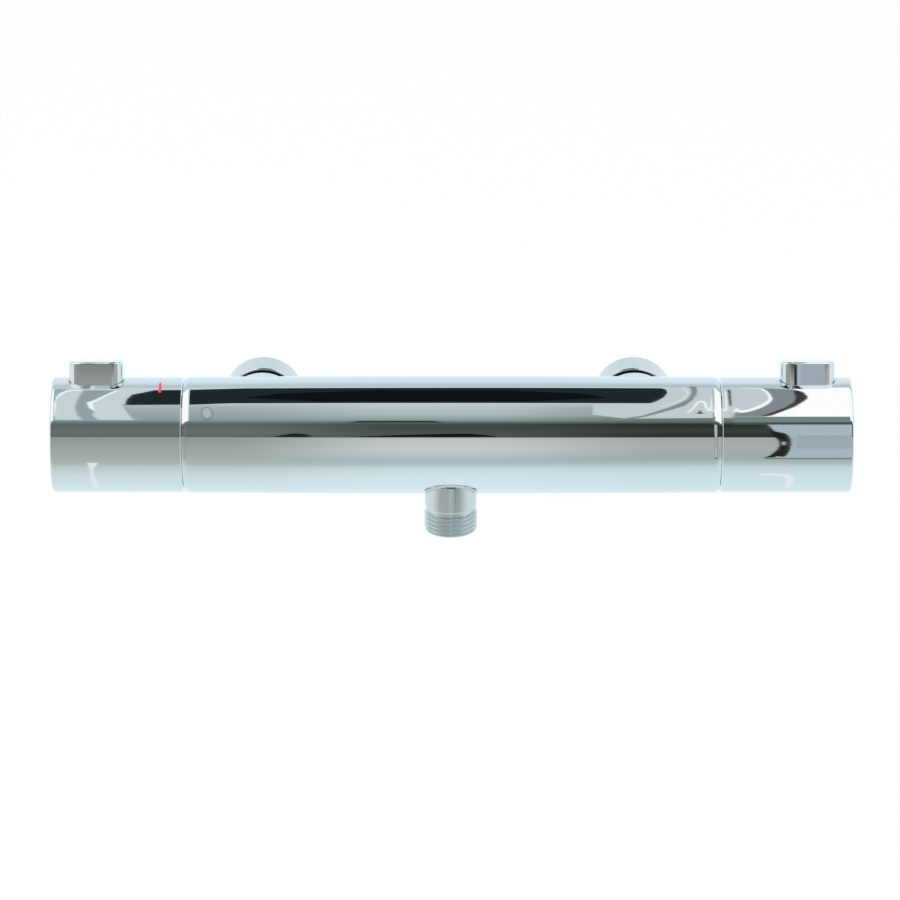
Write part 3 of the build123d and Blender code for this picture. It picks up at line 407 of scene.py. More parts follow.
def barOutline():
    half = bar["length"] / 2
    flat = half - bar["edgeLength"]
    easeRadius = (bar["edgeLength"] ** 2 + bar["edgeDrop"] ** 2) / (2 * bar["edgeDrop"])
    sweep = math.degrees(math.asin(bar["edgeLength"] / easeRadius))
    steps, easeCentre = bar["edgeSteps"], (flat, bar["endRadius"] - easeRadius)
    right = arcPoints(easeCentre, easeRadius, 90 - sweep / steps, 90 - sweep, steps - 1)
    crown = [(flat * (2 * step / bar["crownSteps"] - 1)) for step in range(bar["crownSteps"] + 1)]
    crown = [crown[0], crown[0] + bar["endLoop"]] + crown[1:-1] + [crown[-1] - bar["endLoop"], crown[-1]]
    left = [(-x, radius) for x, radius in reversed(right)]
    return left + [(x, crownAt(x)) for x in crown] + right


def makeBar():
    half = bar["length"] / 2
    spigotEnd = half + bar["spigot"]
    outline = [(-spigotEnd, bar["spigotRadius"]), (-half, bar["spigotRadius"])] + barOutline()
    outline += [(half, bar["spigotRadius"]), (spigotEnd, bar["spigotRadius"])]
    outline += stepped(spigotEnd, bar["bores"] + [(bar["lastBore"], -spigotEnd)])
    return turnPiece("bar", outline, barAxis, barWay, up, bar["steps"])


# Bosses and sockets on its wall side, and the socket for the outlet under it
inlets = {
    "start": 12.0, "bossRadius": 15.6, "bossReach": 28.0, "bossEdge": 0.8, "socketRadius": 8.55,
    "socketFloor": 19.5, "waterway": 5.5, "insideReach": 130.0, "insideRadius": 18.5,
}
outlet = {
    "seat": 15.3, "collarRadius": 10.4, "collarEdge": 0.5, "tailRadius": 8.0, "tailTop": 12.1, "gap": 0.1,
    "waterwayTop": 9.7, "tailHole": 8.05, "tailHoleTop": 11.8, "socketFoot": 26.0,
    "threadRadius": 10.4775, "pitch": 1.814, "threadLength": 8.6, "turns": 6, "end": 37.4,
    "tooth": ((-1.162, 0.13), (-0.12, 0.68), (0.02, 0.78), (0.8, 0.78)),
    "reliefRadius": 9.15, "reliefWidth": 1.8, "bore": 5.0, "hexFlats": 12.0, "hexDepth": 10.0,
    # Rounded and eased corners, each as (along, inwards or outwards) from where the plain corner would be
    "collarFoot": ((0.6, 0.0), (0.15, 0.25), (0.0, 0.6)), "reliefTurn": ((0.1, 0.2), (0.3, 0.0)),
    "threadRise": (0.1, 0.6), "leadIn": ((0.9, 0.0), (0.1, 0.8), (0.0, 1.0)),
}
nippleLow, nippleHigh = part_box("outlet_nipple")
outletCentre = Vector(((nippleLow[0] + nippleHigh[0]) / 2, (nippleLow[1] + nippleHigh[1]) / 2, barAxis[2]))
inletCentres = {}
for end in ("hot", "cold"):
    nutLow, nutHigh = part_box("union_nut_" + end)
    inletCentres[end] = Vector(((nutLow[0] + nutHigh[0]) / 2, barAxis[1], barAxis[2]))

barPiece = makeBar()
for inletCentre in inletCentres.values():
    reach, edge = inlets["bossReach"], inlets["bossEdge"]
    profile = [(inlets["start"], 0), (inlets["start"], inlets["bossRadius"])]
    profile += arcPoints((reach - edge, inlets["bossRadius"] - edge), edge, 90, 0, 6) + [(reach, 0)]
    boss = turnPiece("boss", profile, inletCentre, wallWay, up, 128, closed=False)
    insideSteps = [(inlets["insideRadius"], inlets["insideReach"])]
    carve(boss, plug("inside", -inlets["insideReach"], insideSteps, barAxis, barWay, up, 192))
    carve(barPiece, boss, "UNION")
    socketSteps = [(inlets["waterway"], inlets["socketFloor"]), (inlets["socketRadius"], reach + cutOver)]
    carve(barPiece, plug("socket", inlets["start"], socketSteps, inletCentre, wallWay, up, 96))
socketSteps = [
    (outlet["bore"], -outlet["tailHoleTop"]), (outlet["tailHole"], -outlet["seat"]),
    (outlet["collarRadius"] + outlet["gap"], -outlet["socketFoot"]),
]
carve(barPiece, plug("outletSocket", -outlet["waterwayTop"], socketSteps, outletCentre, up, barWay, 128))
cleanMesh(barPiece)
smoothPiece(barPiece)
dress(barPiece, polishedChrome, "mixer_body", "chrome_bar", "body_casting")
print("bar made")


# Handles: plain round shells with a web and hub inside, and a well for the button with a rolled rim
handle = {
    "start": 106.9, "length": 51.9, "radius": 23.0, "edgeRadius": 1.0, "innerChamfer": 0.3, "skirtBore": 20.8,
    "cavity": 20.3, "webStart": 126.0, "webEnd": 129.0, "hubEnd": 133.5, "hubRadius": 10.0,
    "insertBore": 7.55, "screwBore": 2.2, "spindleEnd": 131.5, "steps": 256,
    "loops": (0.4, 1.2, 10, 20, 30, 40, 48.9, 49.9),  # hold the shading of the long plain side
    "buttonFromEnd": 17.35, "wellGap": 0.3, "wellWall": 1.8, "wellFloor": 13.3, "wellTop": 17.9,
    "floorThickness": 2.0, "stemHole": 2.6, "rimRadius": 0.7, "rimRise": 0.012, "mouthReach": 5.0,
}
# Buttons: rounded squares in plan, their ends swelling a little, with a stem and a tongue towards the bar
button = {
    "width": 21.8, "depth": 19.0, "corner": 4.5, "endSwell": 0.5, "faceSwell": 0.06, "top": 29.6,
    "skirtBottom": 16.5, "wall": 2.0, "edge": 1.1, "edgeSegments": 7, "sideSteps": 14, "cornerSteps": 12,
    "stemRadius": 2.5, "stemTip": 9.0, "tipChamfer": 0.3, "clipGroove": (10.3, 11.1), "clipDepth": 0.7,
    "tongueStart": 122.5, "tongueWidth": 6.0, "tongueThickness": 2.2, "tongueTop": 17.3, "tongueEdge": 0.25,
    "tongueBite": 0.75,  # share of the button's wall that the tongue reaches into
}
handleEnd = handle["start"] + handle["length"]
buttonX = handleEnd - handle["buttonFromEnd"]
buttonCentre = barAxis + barWay * buttonX * mm


def buttonOutline(grow):
    # Round the plan of a button: (along the bar, across it, and the outward way there), grown by a distance
    halfWidth, halfDepth = button["width"] / 2, button["depth"] / 2
    endSwell, faceSwell = button["endSwell"], button["faceSwell"]
    endRadius = ((halfDepth - faceSwell) ** 2 + endSwell**2) / (2 * endSwell)
    faceRadius = ((halfWidth - endSwell) ** 2 + faceSwell**2) / (2 * faceSwell)
    endCentre, faceCentre = Vector((halfWidth - endRadius, 0)), Vector((0, halfDepth - faceRadius))
    # The corner's centre lies where both big arcs, drawn in by the corner's radius, cross
    gap = faceCentre - endCentre
    near, far = endRadius - button["corner"], faceRadius - button["corner"]
    along = (gap.length**2 + near**2 - far**2) / (2 * gap.length)
    rise = math.sqrt(near**2 - along**2)
    line = gap.normalized()
    cornerCentre = endCentre + line * along + Vector((-line[1], line[0])) * rise
    endTurn = math.atan2(cornerCentre[1] - endCentre[1], cornerCentre[0] - endCentre[0])
    faceTurn = math.atan2(cornerCentre[1] - faceCentre[1], cornerCentre[0] - faceCentre[0])
    quarter = []
    for centre, radius, low, high, steps in (
        (endCentre, endRadius, 0.0, endTurn, button["sideSteps"] // 2),
        (cornerCentre, button["corner"], endTurn, faceTurn, button["cornerSteps"]),
        (faceCentre, faceRadius, faceTurn, math.pi / 2, button["sideSteps"] // 2),
    ):
        for step in range(steps):
            turn = low + (high - low) * step / steps
            way = Vector((math.cos(turn), math.sin(turn)))
            quarter.append((centre + way * (radius + grow), way))
    middle = (Vector((0, halfDepth + grow)), Vector((0, 1)))
    upperLeft = [
        (Vector((-spot[0], spot[1])), Vector((-way[0], way[1]))) for spot, way in reversed(quarter)
    ]
    upper = quarter + [middle] + upperLeft[:-1]
    lower = [(-spot, -way) for spot, way in upper]
    return upper + lower


def flaredWell(name, arcSteps=6):
    # Cutter for the button's well. Its mouth rolls over into the handle's curve, as a ball between them would
    roll = handle["rimRadius"]
    outside = handle["radius"] + handle["rimRise"]
    floorCentre = 0.02  # the floor's inner ring, as a share of its outline
    outline = buttonOutline(handle["wellGap"])
    count = len(outline)
    rings = [[], []] + [[] for step in range(arcSteps + 1)] + [[]]
    for spot, way in outline:
        outward = barWay * way[0] + buttonSide * way[1]
        foot = barWay * spot[0] + buttonSide * spot[1]
        across = spot[1] + way[1] * roll
        ballHeight = math.sqrt((outside - roll) ** 2 - across**2)
        ball = foot + outward * roll + buttonWay * ballHeight
        skin = (buttonSide * across + buttonWay * ballHeight).normalized()
        rings[0].append(foot * floorCentre + buttonWay * handle["wellFloor"])
        rings[1].append(foot + buttonWay * handle["wellFloor"])
        spread = (-outward).angle(skin)
        for step in range(arcSteps + 1):
            share = step / arcSteps
            inner, outer = math.sin((1 - share) * spread), math.sin(share * spread)
            turned = (-outward * inner + skin * outer) / math.sin(spread)
            rings[2 + step].append(ball + turned * roll)
        rings[-1].append(ball + skin * (roll + handle["mouthReach"]))
    points = [buttonCentre + point * mm for ring in rings for point in ring]
    faces = []
    for ring in range(len(rings) - 1):
        for spot in range(count):
            after = (spot + 1) % count
            low = ring * count
            faces.append((low + spot, low + after, low + count + after, low + count + spot))
    faces.append(tuple(reversed(range(count))))
    faces.append(tuple(range(len(points) - count, len(points))))
    mesh = bpy.data.meshes.new(name)
    mesh.from_pydata([tuple(point) for point in points], [], faces)
    tool = bpy.data.objects.new(name, mesh)
    bpy.context.collection.objects.link(tool)
    return cleanMesh(tool)


def plainBlock(name, grow, bottom, top):
    # A block with a button's plan between two heights, drawn flat and pulled up
    piece = flatShape(name, [
        buttonCentre + (barWay * spot[0] + buttonSide * spot[1] + buttonWay * bottom) * mm
        for spot, way in buttonOutline(grow)
    ])
    bpy.ops.mesh.extrude_region_move(TRANSFORM_OT_translate={"value": buttonWay * (top - bottom) * mm})
    return piece


def makeHandle():
    start = handle["start"]
    corner = handle["edgeRadius"]
    chamfer = handle["innerChamfer"]
    radius = handle["radius"]
    profile = [(start, handle["skirtBore"]), (start, radius - chamfer), (start + chamfer, radius)]
    profile += [(start + chamfer + step, radius) for step in handle["loops"]]
    profile += arcPoints((handleEnd - corner, radius - corner), corner, 90, 0, 6)
    profile += stepped(handleEnd, [
        (handle["cavity"], handle["webEnd"]), (handle["hubRadius"], handle["hubEnd"]),
        (handle["screwBore"], handle["spindleEnd"]), (handle["insertBore"], handle["webStart"]),
    ]) + [(handle["webStart"], handle["skirtBore"])]
    piece = turnPiece("flowHandle", profile, barAxis, barWay, up, handle["steps"])
    floorUnder = handle["wellFloor"] - handle["floorThickness"]
    well = plainBlock("well", handle["wellGap"] + handle["wellWall"], floorUnder, handle["wellTop"])
    carve(piece, cleanMesh(well), "UNION")
    carve(piece, flaredWell("wellMouth"))
    holeSteps = [(handle["stemHole"], handle["wellFloor"] + cutOver)]
    carve(piece, plug("stemHole", floorUnder - cutOver, holeSteps, buttonCentre, buttonWay, buttonSide, 48))
    return cleanMesh(piece)


dressBothEnds(
    makeHandle(), "temperatureHandle", "chrome_handle",
    ("flow_handle", "flow_handle"), ("temperature_handle", "temperature_handle"),
)
print("handles made")


def makeButton():
    edge, wall = button["edge"], button["wall"]
    top, bottom = button["top"], button["skirtBottom"]
    piece = plainBlock("ecoButton", 0, bottom, top)
    # The pulled face is still selected, so that its rim can be rounded
    bpy.ops.mesh.region_to_loop()
    bpy.ops.mesh.bevel(offset=edge * mm, segments=button["edgeSegments"], affect="EDGES")
    leaveEdit()
    cleanMesh(piece)
    hollow = plainBlock("hollow", -wall, bottom - cutOver, top - wall)
    carve(piece, cleanMesh(hollow))
    stem, tip, chamfer = button["stemRadius"], button["stemTip"], button["tipChamfer"]
    grooveLow, grooveHigh = button["clipGroove"]
    neck = stem - button["clipDepth"]
    profile = [
        (tip, 0), (tip, stem - chamfer), (tip + chamfer, stem), (grooveLow, stem), (grooveLow, neck),
        (grooveHigh, neck), (grooveHigh, stem), (top - wall / 2, stem), (top - wall / 2, 0),
    ]
    carve(piece, turnPiece("stem", profile, buttonCentre, buttonWay, buttonSide, 64, closed=False), "UNION")
    tongueEnd = buttonX - button["width"] / 2 + wall * button["tongueBite"]
    length = tongueEnd - button["tongueStart"]
    deselectAll()
    bpy.ops.mesh.primitive_cube_add(size=mm)
    tongue = placeInMesh(bpy.context.object, "tongue")
    editAll()
    bpy.ops.transform.resize(value=(length, button["tongueWidth"], button["tongueThickness"]))
    bpy.ops.mesh.bevel(offset=button["tongueEdge"] * mm, segments=2, affect="EDGES")
    leaveEdit()
    tongue.rotation_euler = (-buttonLean, 0, 0)
    middle = (button["tongueStart"] + tongueEnd) / 2
    height = button["tongueTop"] - button["tongueThickness"] / 2
    tongue.location = barAxis + (barWay * middle + buttonWay * height) * mm
    carve(piece, placeInMesh(tongue, "tongue"), "UNION")
    return cleanMesh(piece)


dressBothEnds(
    makeButton(), "safetyButton", "chrome_button",
    ("eco_button", "eco_button"), ("safety_button", "safety_button"),
)
print("buttons made")


# End caps: shallow cups pressed into the handles' open ends
endCap = {
    "radius": 20.25, "inset": 0.2, "depth": 3.0, "wall": 1.5, "chamfer": 0.3, "swell": 0.1,
    "dome": ((0.0, 0.0), (0.01, 5.0), (0.03, 10.0), (0.06, 15.0), (0.09, 19.0)),  # (drop, radius)
}


def makeEndCap():
    radius, chamfer = endCap["radius"], endCap["chamfer"]
    inner = radius - endCap["wall"]
    face = handleEnd - endCap["inset"]
    rim, back, floorFace = face - endCap["swell"], face - endCap["depth"], face - endCap["wall"]
    profile = [(face - drop, reach) for drop, reach in endCap["dome"]]
    profile += [
        (rim, radius - chamfer), (rim - chamfer, radius), (back, radius), (back, inner), (floorFace, inner),
        (floorFace, 0.0),
    ]
    return turnPiece("flowEndCap", profile, barAxis, barWay, up, 192, closed=False)


dressBothEnds(
    makeEndCap(), "temperatureEndCap", "chrome_handle",
    ("flow_handle", "flow_end_cap"), ("temperature_handle", "temperature_end_cap"),
)


# Outlet nipple: plain collar, relief groove and a cut thread with a hexagon key socket inside
def makeNipple():
    thread, relief = outlet["threadRadius"], outlet["reliefRadius"]
    collar, edge = outlet["collarRadius"], outlet["collarEdge"]
    seat, end, tailTop = -outlet["seat"], -outlet["end"], -outlet["tailTop"]
    threadTop = outlet["end"] - outlet["threadLength"]
    reliefTop = threadTop - outlet["reliefWidth"]
    rise = outlet["threadRise"]
    profile = [
        (tailTop, outlet["bore"]), (tailTop, outlet["tailRadius"]), (seat, outlet["tailRadius"]),
        (seat, collar - edge), (seat - edge, collar),
    ]
    profile += [(-reliefTop + above, collar - inward) for above, inward in outlet["collarFoot"]]
    profile += [(-reliefTop - below, relief + outward) for below, outward in outlet["reliefTurn"]]
    profile += [(-threadTop + rise[0], relief), (-threadTop - rise[1], thread)]
    profile += [(end + above, thread - inward) for above, inward in outlet["leadIn"]]
    profile += [(end, outlet["bore"])]
    piece = turnPiece("outletNipple", profile, outletCentre, up, barWay, 144)
    tooth = toothSection(thread, outlet["tooth"], 1)
    start = outletCentre - up * (outlet["end"] + outlet["pitch"]) * mm
    carve(piece, threadTool("threadGroove", start, "Z", tooth, outlet["pitch"], outlet["turns"]))
    deselectAll()
    flatToCorner = outlet["hexFlats"] / math.sqrt(3)
    bpy.ops.mesh.primitive_cylinder_add(
        vertices=6, radius=flatToCorner * mm, depth=outlet["hexDepth"] * 2 * mm,
        location=outletCentre - up * outlet["end"] * mm,
    )
    carve(piece, placeInMesh(bpy.context.object, "keySocket"))
    return cleanMesh(piece)


outletNipple = makeNipple()
smoothPiece(outletNipple, 24)
nippleChrome = turnedChrome("machinedChromeNipple", 2, outletCentre)
dress(outletNipple, nippleChrome, "mixer_body", "chrome_fitting", "outlet_nipple")
print("outlet made")


# Union nuts and the tails that they turn on
unionNut = {
    "radius": 15.8, "front": 31.3, "back": 44.4, "bore": 12.06, "relief": 12.5, "neck": 10.25,
    "shoulder": 33.0, "threadStart": 37.3, "threadLead": 0.2, "flats": 30.0, "edge": 0.8, "lip": 0.2,
    "mouth": 0.5,
    "pitch": 1.814, "turns": 5, "tooth": ((1.162, 0.13), (0.1, 0.66), (-0.04, 0.74), (-0.7, 0.74)),
}
tail = {
    "thread": 8.5, "threadStart": 20.0, "collar": 10.0, "collarStart": 28.0, "collarEdge": 0.3,
    "flange": 11.6, "flangeStart": 33.05, "face": 35.0, "pocket": 7.6, "pocketStart": 23.0, "bore": 5.5,
}


def makeUnionNut(name, centre):
    radius, edge, bore = unionNut["radius"], unionNut["edge"], unionNut["bore"]
    front, back, start = unionNut["front"], unionNut["back"], unionNut["threadStart"]
    relief, neck, shoulder = unionNut["relief"], unionNut["neck"], unionNut["shoulder"]
    profile = [(front, neck + unionNut["lip"]), (front, radius - edge)]
    profile += arcPoints((front + edge, radius - edge), edge, 180, 90, 5)[1:]
    profile += arcPoints((back - edge, radius - edge), edge, 90, 0, 5)
    profile += [(back, bore + unionNut["mouth"]), (back - unionNut["mouth"], bore), (start, bore)]
    profile += [(start, relief), (shoulder, relief), (shoulder, neck), (front + unionNut["lip"], neck)]
    piece = turnPiece(name, profile, centre, wallWay, up, 160)
    tooth = toothSection(bore, unionNut["tooth"], -1)
    grooveStart = centre + wallWay * (start + unionNut["threadLead"]) * mm
    carve(piece, threadTool("nutThread", grooveStart, "Y", tooth, unionNut["pitch"], unionNut["turns"]))
    for side in (-1, 1):
        pick(piece)
        editAll()
        bpy.ops.mesh.bisect(
            plane_co=centre + barWay * side * unionNut["flats"] / 2 * mm, plane_no=barWay * side,
            clear_outer=True, use_fill=True, threshold=0.0001 * mm,
        )
        leaveEdit()
    return cleanMesh(piece)


def makeTail(name, centre):
    collar, edge, collarStart = tail["collar"], tail["collarEdge"], tail["collarStart"]
    profile = [
        (tail["threadStart"], tail["bore"]), (tail["threadStart"], tail["thread"]),
        (collarStart, tail["thread"]), (collarStart, collar - edge), (collarStart + edge, collar),
        (tail["flangeStart"], collar),
    ]
    flangeSteps = [(tail["flange"], tail["face"]), (tail["pocket"], tail["pocketStart"])]
    profile += stepped(tail["flangeStart"], flangeSteps) + [(tail["pocketStart"], tail["bore"])]
    return turnPiece(name, profile, centre, wallWay, up, 128)


for end, inletCentre in inletCentres.items():
    nut = makeUnionNut("unionNut" + end.capitalize(), inletCentre)
    smoothPiece(nut, 24)
    fittingChrome = turnedChrome("machinedChromeFitting" + end.capitalize(), 1, inletCentre)
    dress(nut, fittingChrome, "union_nut_" + end, "chrome_fitting", "union_nut_" + end)
    inletTail = makeTail("inletTail" + end.capitalize(), inletCentre)
    smoothPiece(inletTail)
    dress(inletTail, fittingChrome, "mixer_body", "chrome_fitting", "inlet_tail_" + end)
print("inlets made")


# Red temperature mark: a thin fill of enamel that follows the handle's curve and narrows to its upper end
mark = {
    "length": 7.3, "width": 1.3, "narrow": 0.78, "fromJoint": 8.7, "forward": 12.0, "proud": 0.03,
    "depth": 0.28, "edgeFall": 0.02, "cells": (6, 28),
}


def makeMark():
    deselectAll()
    columns, rows = mark["cells"]
    bpy.ops.mesh.primitive_grid_add(x_subdivisions=columns, y_subdivisions=rows, size=mm)
    piece = placeInMesh(bpy.context.object, "temperatureMark")
    middle = -(handle["start"] + mark["fromJoint"])
    outside = handle["radius"] + mark["proud"]
    for vertex in piece.data.vertices:
        across, along = vertex.co.x / mm, vertex.co.y / mm  # both run from -0.5 to 0.5
        roundEnd = math.sqrt(max(0.0, 1 - (2 * along) ** 10))
        width = mark["width"] * (1 - (along + 0.5) * (1 - mark["narrow"])) * roundEnd
        angle = math.radians(mark["forward"]) - along * mark["length"] / outside
        reach = outside - mark["edgeFall"] * (2 * abs(across)) ** 4
        spot = Vector((middle + across * width, -math.sin(angle) * reach, math.cos(angle) * reach))
        vertex.co = barAxis + spot * mm
    thickness = piece.modifiers.new("thickness", "SOLIDIFY")
    thickness.thickness = mark["depth"] * mm
    thickness.offset = -1
    pick(piece)
    bpy.ops.object.modifier_apply(modifier=thickness.name)
    return cleanMesh(piece)


temperatureMark = makeMark()
smoothPiece(temperatureMark, 50)
dress(temperatureMark, stovedEnamel(), "temperature_handle", "mark_enamel", "temperature_mark")
print("mark made")


def endMiddles(node, index):
    # Middles of a box's two ends along one axis
    low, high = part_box(node)
    first, last = (low + high) / 2, (low + high) / 2
    first[index], last[index] = low[index], high[index]
    return first, last


def makeSpring(name, node, seats):
    coil = frame["nodes"][node]
    piece = bpy.data.objects.new(name, coil.data.copy())
    piece.data.transform(coil.matrix_world)
    bpy.context.collection.objects.link(piece)
    cleanMesh(piece)
    smoothPiece(piece, 60)
    piece.data.materials.clear()
    piece.data.materials.append(slotMaterials["springSteel"])
    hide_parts(node)
    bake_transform(piece)


wellSeat = buttonWay * handle["wellFloor"] * mm
buttonSeat = buttonWay * (button["top"] - button["wall"]) * mm
for name, node, bodies, centre in (
    ("ecoButtonSpring", "eco_button_spring", ("flow_handle", "eco_button"), buttonCentre),
    ("safetyButtonSpring", "safety_button_spring", ("temperature_handle", "safety_button"),
     barAxis - barWay * buttonX * mm),
):
    makeSpring(name, node, (centre + wellSeat, centre + buttonSeat))
for end in ("hot", "cold"):
    node = "check_valve_spring_" + end
    bodies = ("mixer_body", "check_valve_poppet_" + end)
    name = "checkValveSpring" + end.capitalize()
    makeSpring(name, node, endMiddles(node, 1))
coreEnd, housingEnd = endMiddles("return_spring", 0)
bodies = ("mixer_body", "thermostat_core")
makeSpring("returnSpring", "return_spring", (housingEnd, coreEnd))
print("springs made")


# Light tent: painted reflections of a studio's paper walls, glowing on a cylinder that only the chrome sees
# and that lights nothing else. Both ends and the middle have their own run of tones, by the angle round the
# bar from straight ahead (0) over the top (90). Colours are as seen in the chrome. turnOver is where, in
# metres, one run goes over into the next
tent = {
    "radius": 600.0, "length": 2600.0, "turnOver": ((-0.13, -0.02), (0.01, 0.12)), "cardGap": 1.0,
    "cardCuts": 11,
    "left": [
        (-180, "#D3E6EE"), (-120, "#D0E4EC"), (-99, "#CEE1E7"), (-66, "#C9D9DD"), (-45, "#BCC8CB"),
        (-36, "#AAB5B6"), (-27, "#A5AEAE"), (-6, "#9DA4A2"), (6, "#959D99"), (18, "#8F9693"),
        (18.8, "#30373A"), (20.6, "#5F6968"), (30, "#66706E"), (42, "#596563"), (47, "#66767A"),
        (51, "#8C999C"), (60, "#93A1A5"), (75, "#A0AEB3"), (83, "#ABB9C0"), (85.5, "#C1CED2"),
        (128, "#C3D0D4"), (132, "#B0C0C8"), (141, "#BECFD6"), (148, "#CEDFE8"), (180, "#D3E5ED"),
    ],
    "middle": [
        (-180, "#D3E6EE"), (-99, "#D3E5EB"), (-66, "#CDE3E7"), (-45, "#C5D6DC"), (-36, "#AEBDC1"),
        (-27, "#A8B7BB"), (-18, "#B6C1C2"), (-6, "#C1CACB"), (6, "#BFC6C6"), (16.6, "#B8C0BF"),
        (18, "#3B4241"), (20, "#4F5655"), (30, "#464D4B"), (42, "#3E4847"), (46, "#5A6666"),
        (51, "#8C9A9D"), (63, "#A9B9BD"), (76, "#B6C3CA"), (83, "#BAC7CF"), (85.5, "#C6D3D8"),
        (128, "#C3D0D4"), (132, "#AFC0C6"), (141, "#BDCFD4"), (148, "#CADEE4"), (180, "#CEE4EC"),
    ],
    "right": [
        (-180, "#D2E5EC"), (-99, "#CDE1E8"), (-66, "#CADDE5"), (-45, "#C2D4D7"), (-36, "#AEBFC0"),
        (-27, "#9DADAC"), (-18, "#9FAAAA"), (-6, "#A6ADAD"), (6, "#A7ACAA"), (17, "#A2A7A5"),
        (18.2, "#2B2D2A"), (30, "#393F39"), (42, "#262D2B"), (45, "#3E4846"), (47, "#5C6968"),
        (56, "#727B7F"), (59, "#8A9697"), (75, "#8D9A9D"), (83, "#A8B3B7"), (85.5, "#C1CED2"),
        (128, "#C3D0D4"), (132, "#A9B9BE"), (141, "#B9CCD1"), (148, "#CEDFE8"), (180, "#D2E5EC"),
    ],
}


def seenInChrome(hexColour):
    # What has to glow for the plate to show a colour, as the plate takes a part of each light
    pairs = zip(toLinear(hexColour)[:3], toLinear(chrome["colour"])[:3])
    return [light / plate for light, plate in pairs] + [1.0]


def paintedReflectionTones(tree, turn, tones):
    ramp = addNode(tree, "ValToRGB", links={"Fac": turn})
    stops = ramp.color_ramp.elements
    stops[0].position, stops[1].position = 0.0, 1.0
    for angle, tone in tones[1:-1]:
        stops.new((angle + 180) / 360)
    for stop, (angle, tone) in zip(stops, tones):
        stop.color = seenInChrome(tone)
    return ramp.outputs["Color"]


def tentMaterial():
    material, tree = newMaterial("studioPaper")
    place = addNode(tree, "TexCoord").outputs["Object"]
    centred = addNode(tree, "Mapping", {"Location": list(-barAxis)}, {"Vector": place})
    parts = addNode(tree, "SeparateXYZ", links={"Vector": centred.outputs["Vector"]})
    forward = addNode(tree, "Math", {1: -1.0}, {0: parts.outputs["Y"]}, operation="MULTIPLY")
    angle = addNode(
        tree, "Math", links={0: parts.outputs["Z"], 1: forward.outputs["Value"]}, operation="ARCTAN2"
    )
    turn = addNode(
        tree, "MapRange", {"From Min": -math.pi, "From Max": math.pi}, {"Value": angle.outputs["Value"]}
    ).outputs["Result"]
    reflectionColour = paintedReflectionTones(tree, turn, tent["left"])
    for (near, far), side in zip(tent["turnOver"], ("middle", "right")):
        share = addNode(
            tree, "MapRange", {"From Min": near, "From Max": far}, {"Value": parts.outputs["X"]},
            interpolation_type="SMOOTHSTEP",
        )
        links = {"Factor": share.outputs["Result"], 6: reflectionColour, 7: paintedReflectionTones(tree, turn, tent[side])}
        reflectionColour = addNode(tree, "Mix", links=links, data_type="RGBA").outputs[2]
    # The tent glows with painted reflection only: the tones that the chrome is to show, lighting nothing else
    glow = addNode(tree, "Emission", {"Strength": 1.0}, {"Color": reflectionColour})
    addNode(tree, "OutputMaterial", links={"Surface": glow.outputs["Emission"]})
    return material


def hideFromAllButChrome(piece):
    for rays in ("camera", "diffuse", "transmission", "volume_scatter", "shadow"):
        setattr(piece, "visible_" + rays, False)


deselectAll()
bpy.ops.mesh.primitive_cylinder_add(
    vertices=180, radius=tent["radius"] * mm, depth=tent["length"] * mm, end_fill_type="NOTHING",
    location=barAxis, rotation=(0, math.pi / 2, 0),
)
tentPiece = placeInMesh(bpy.context.object, "studioTent")
bpy.ops.object.shade_smooth()
tentPiece.data.materials.append(tentMaterial())
hideFromAllButChrome(tentPiece)

def oval(along, degrees, halfAlong, halfDegrees, count=24):
    # Outline of a round card
    turns = [2 * math.pi * step / count for step in range(count)]
    return [(along + halfAlong * math.cos(turn), degrees + halfDegrees * math.sin(turn)) for turn in turns]
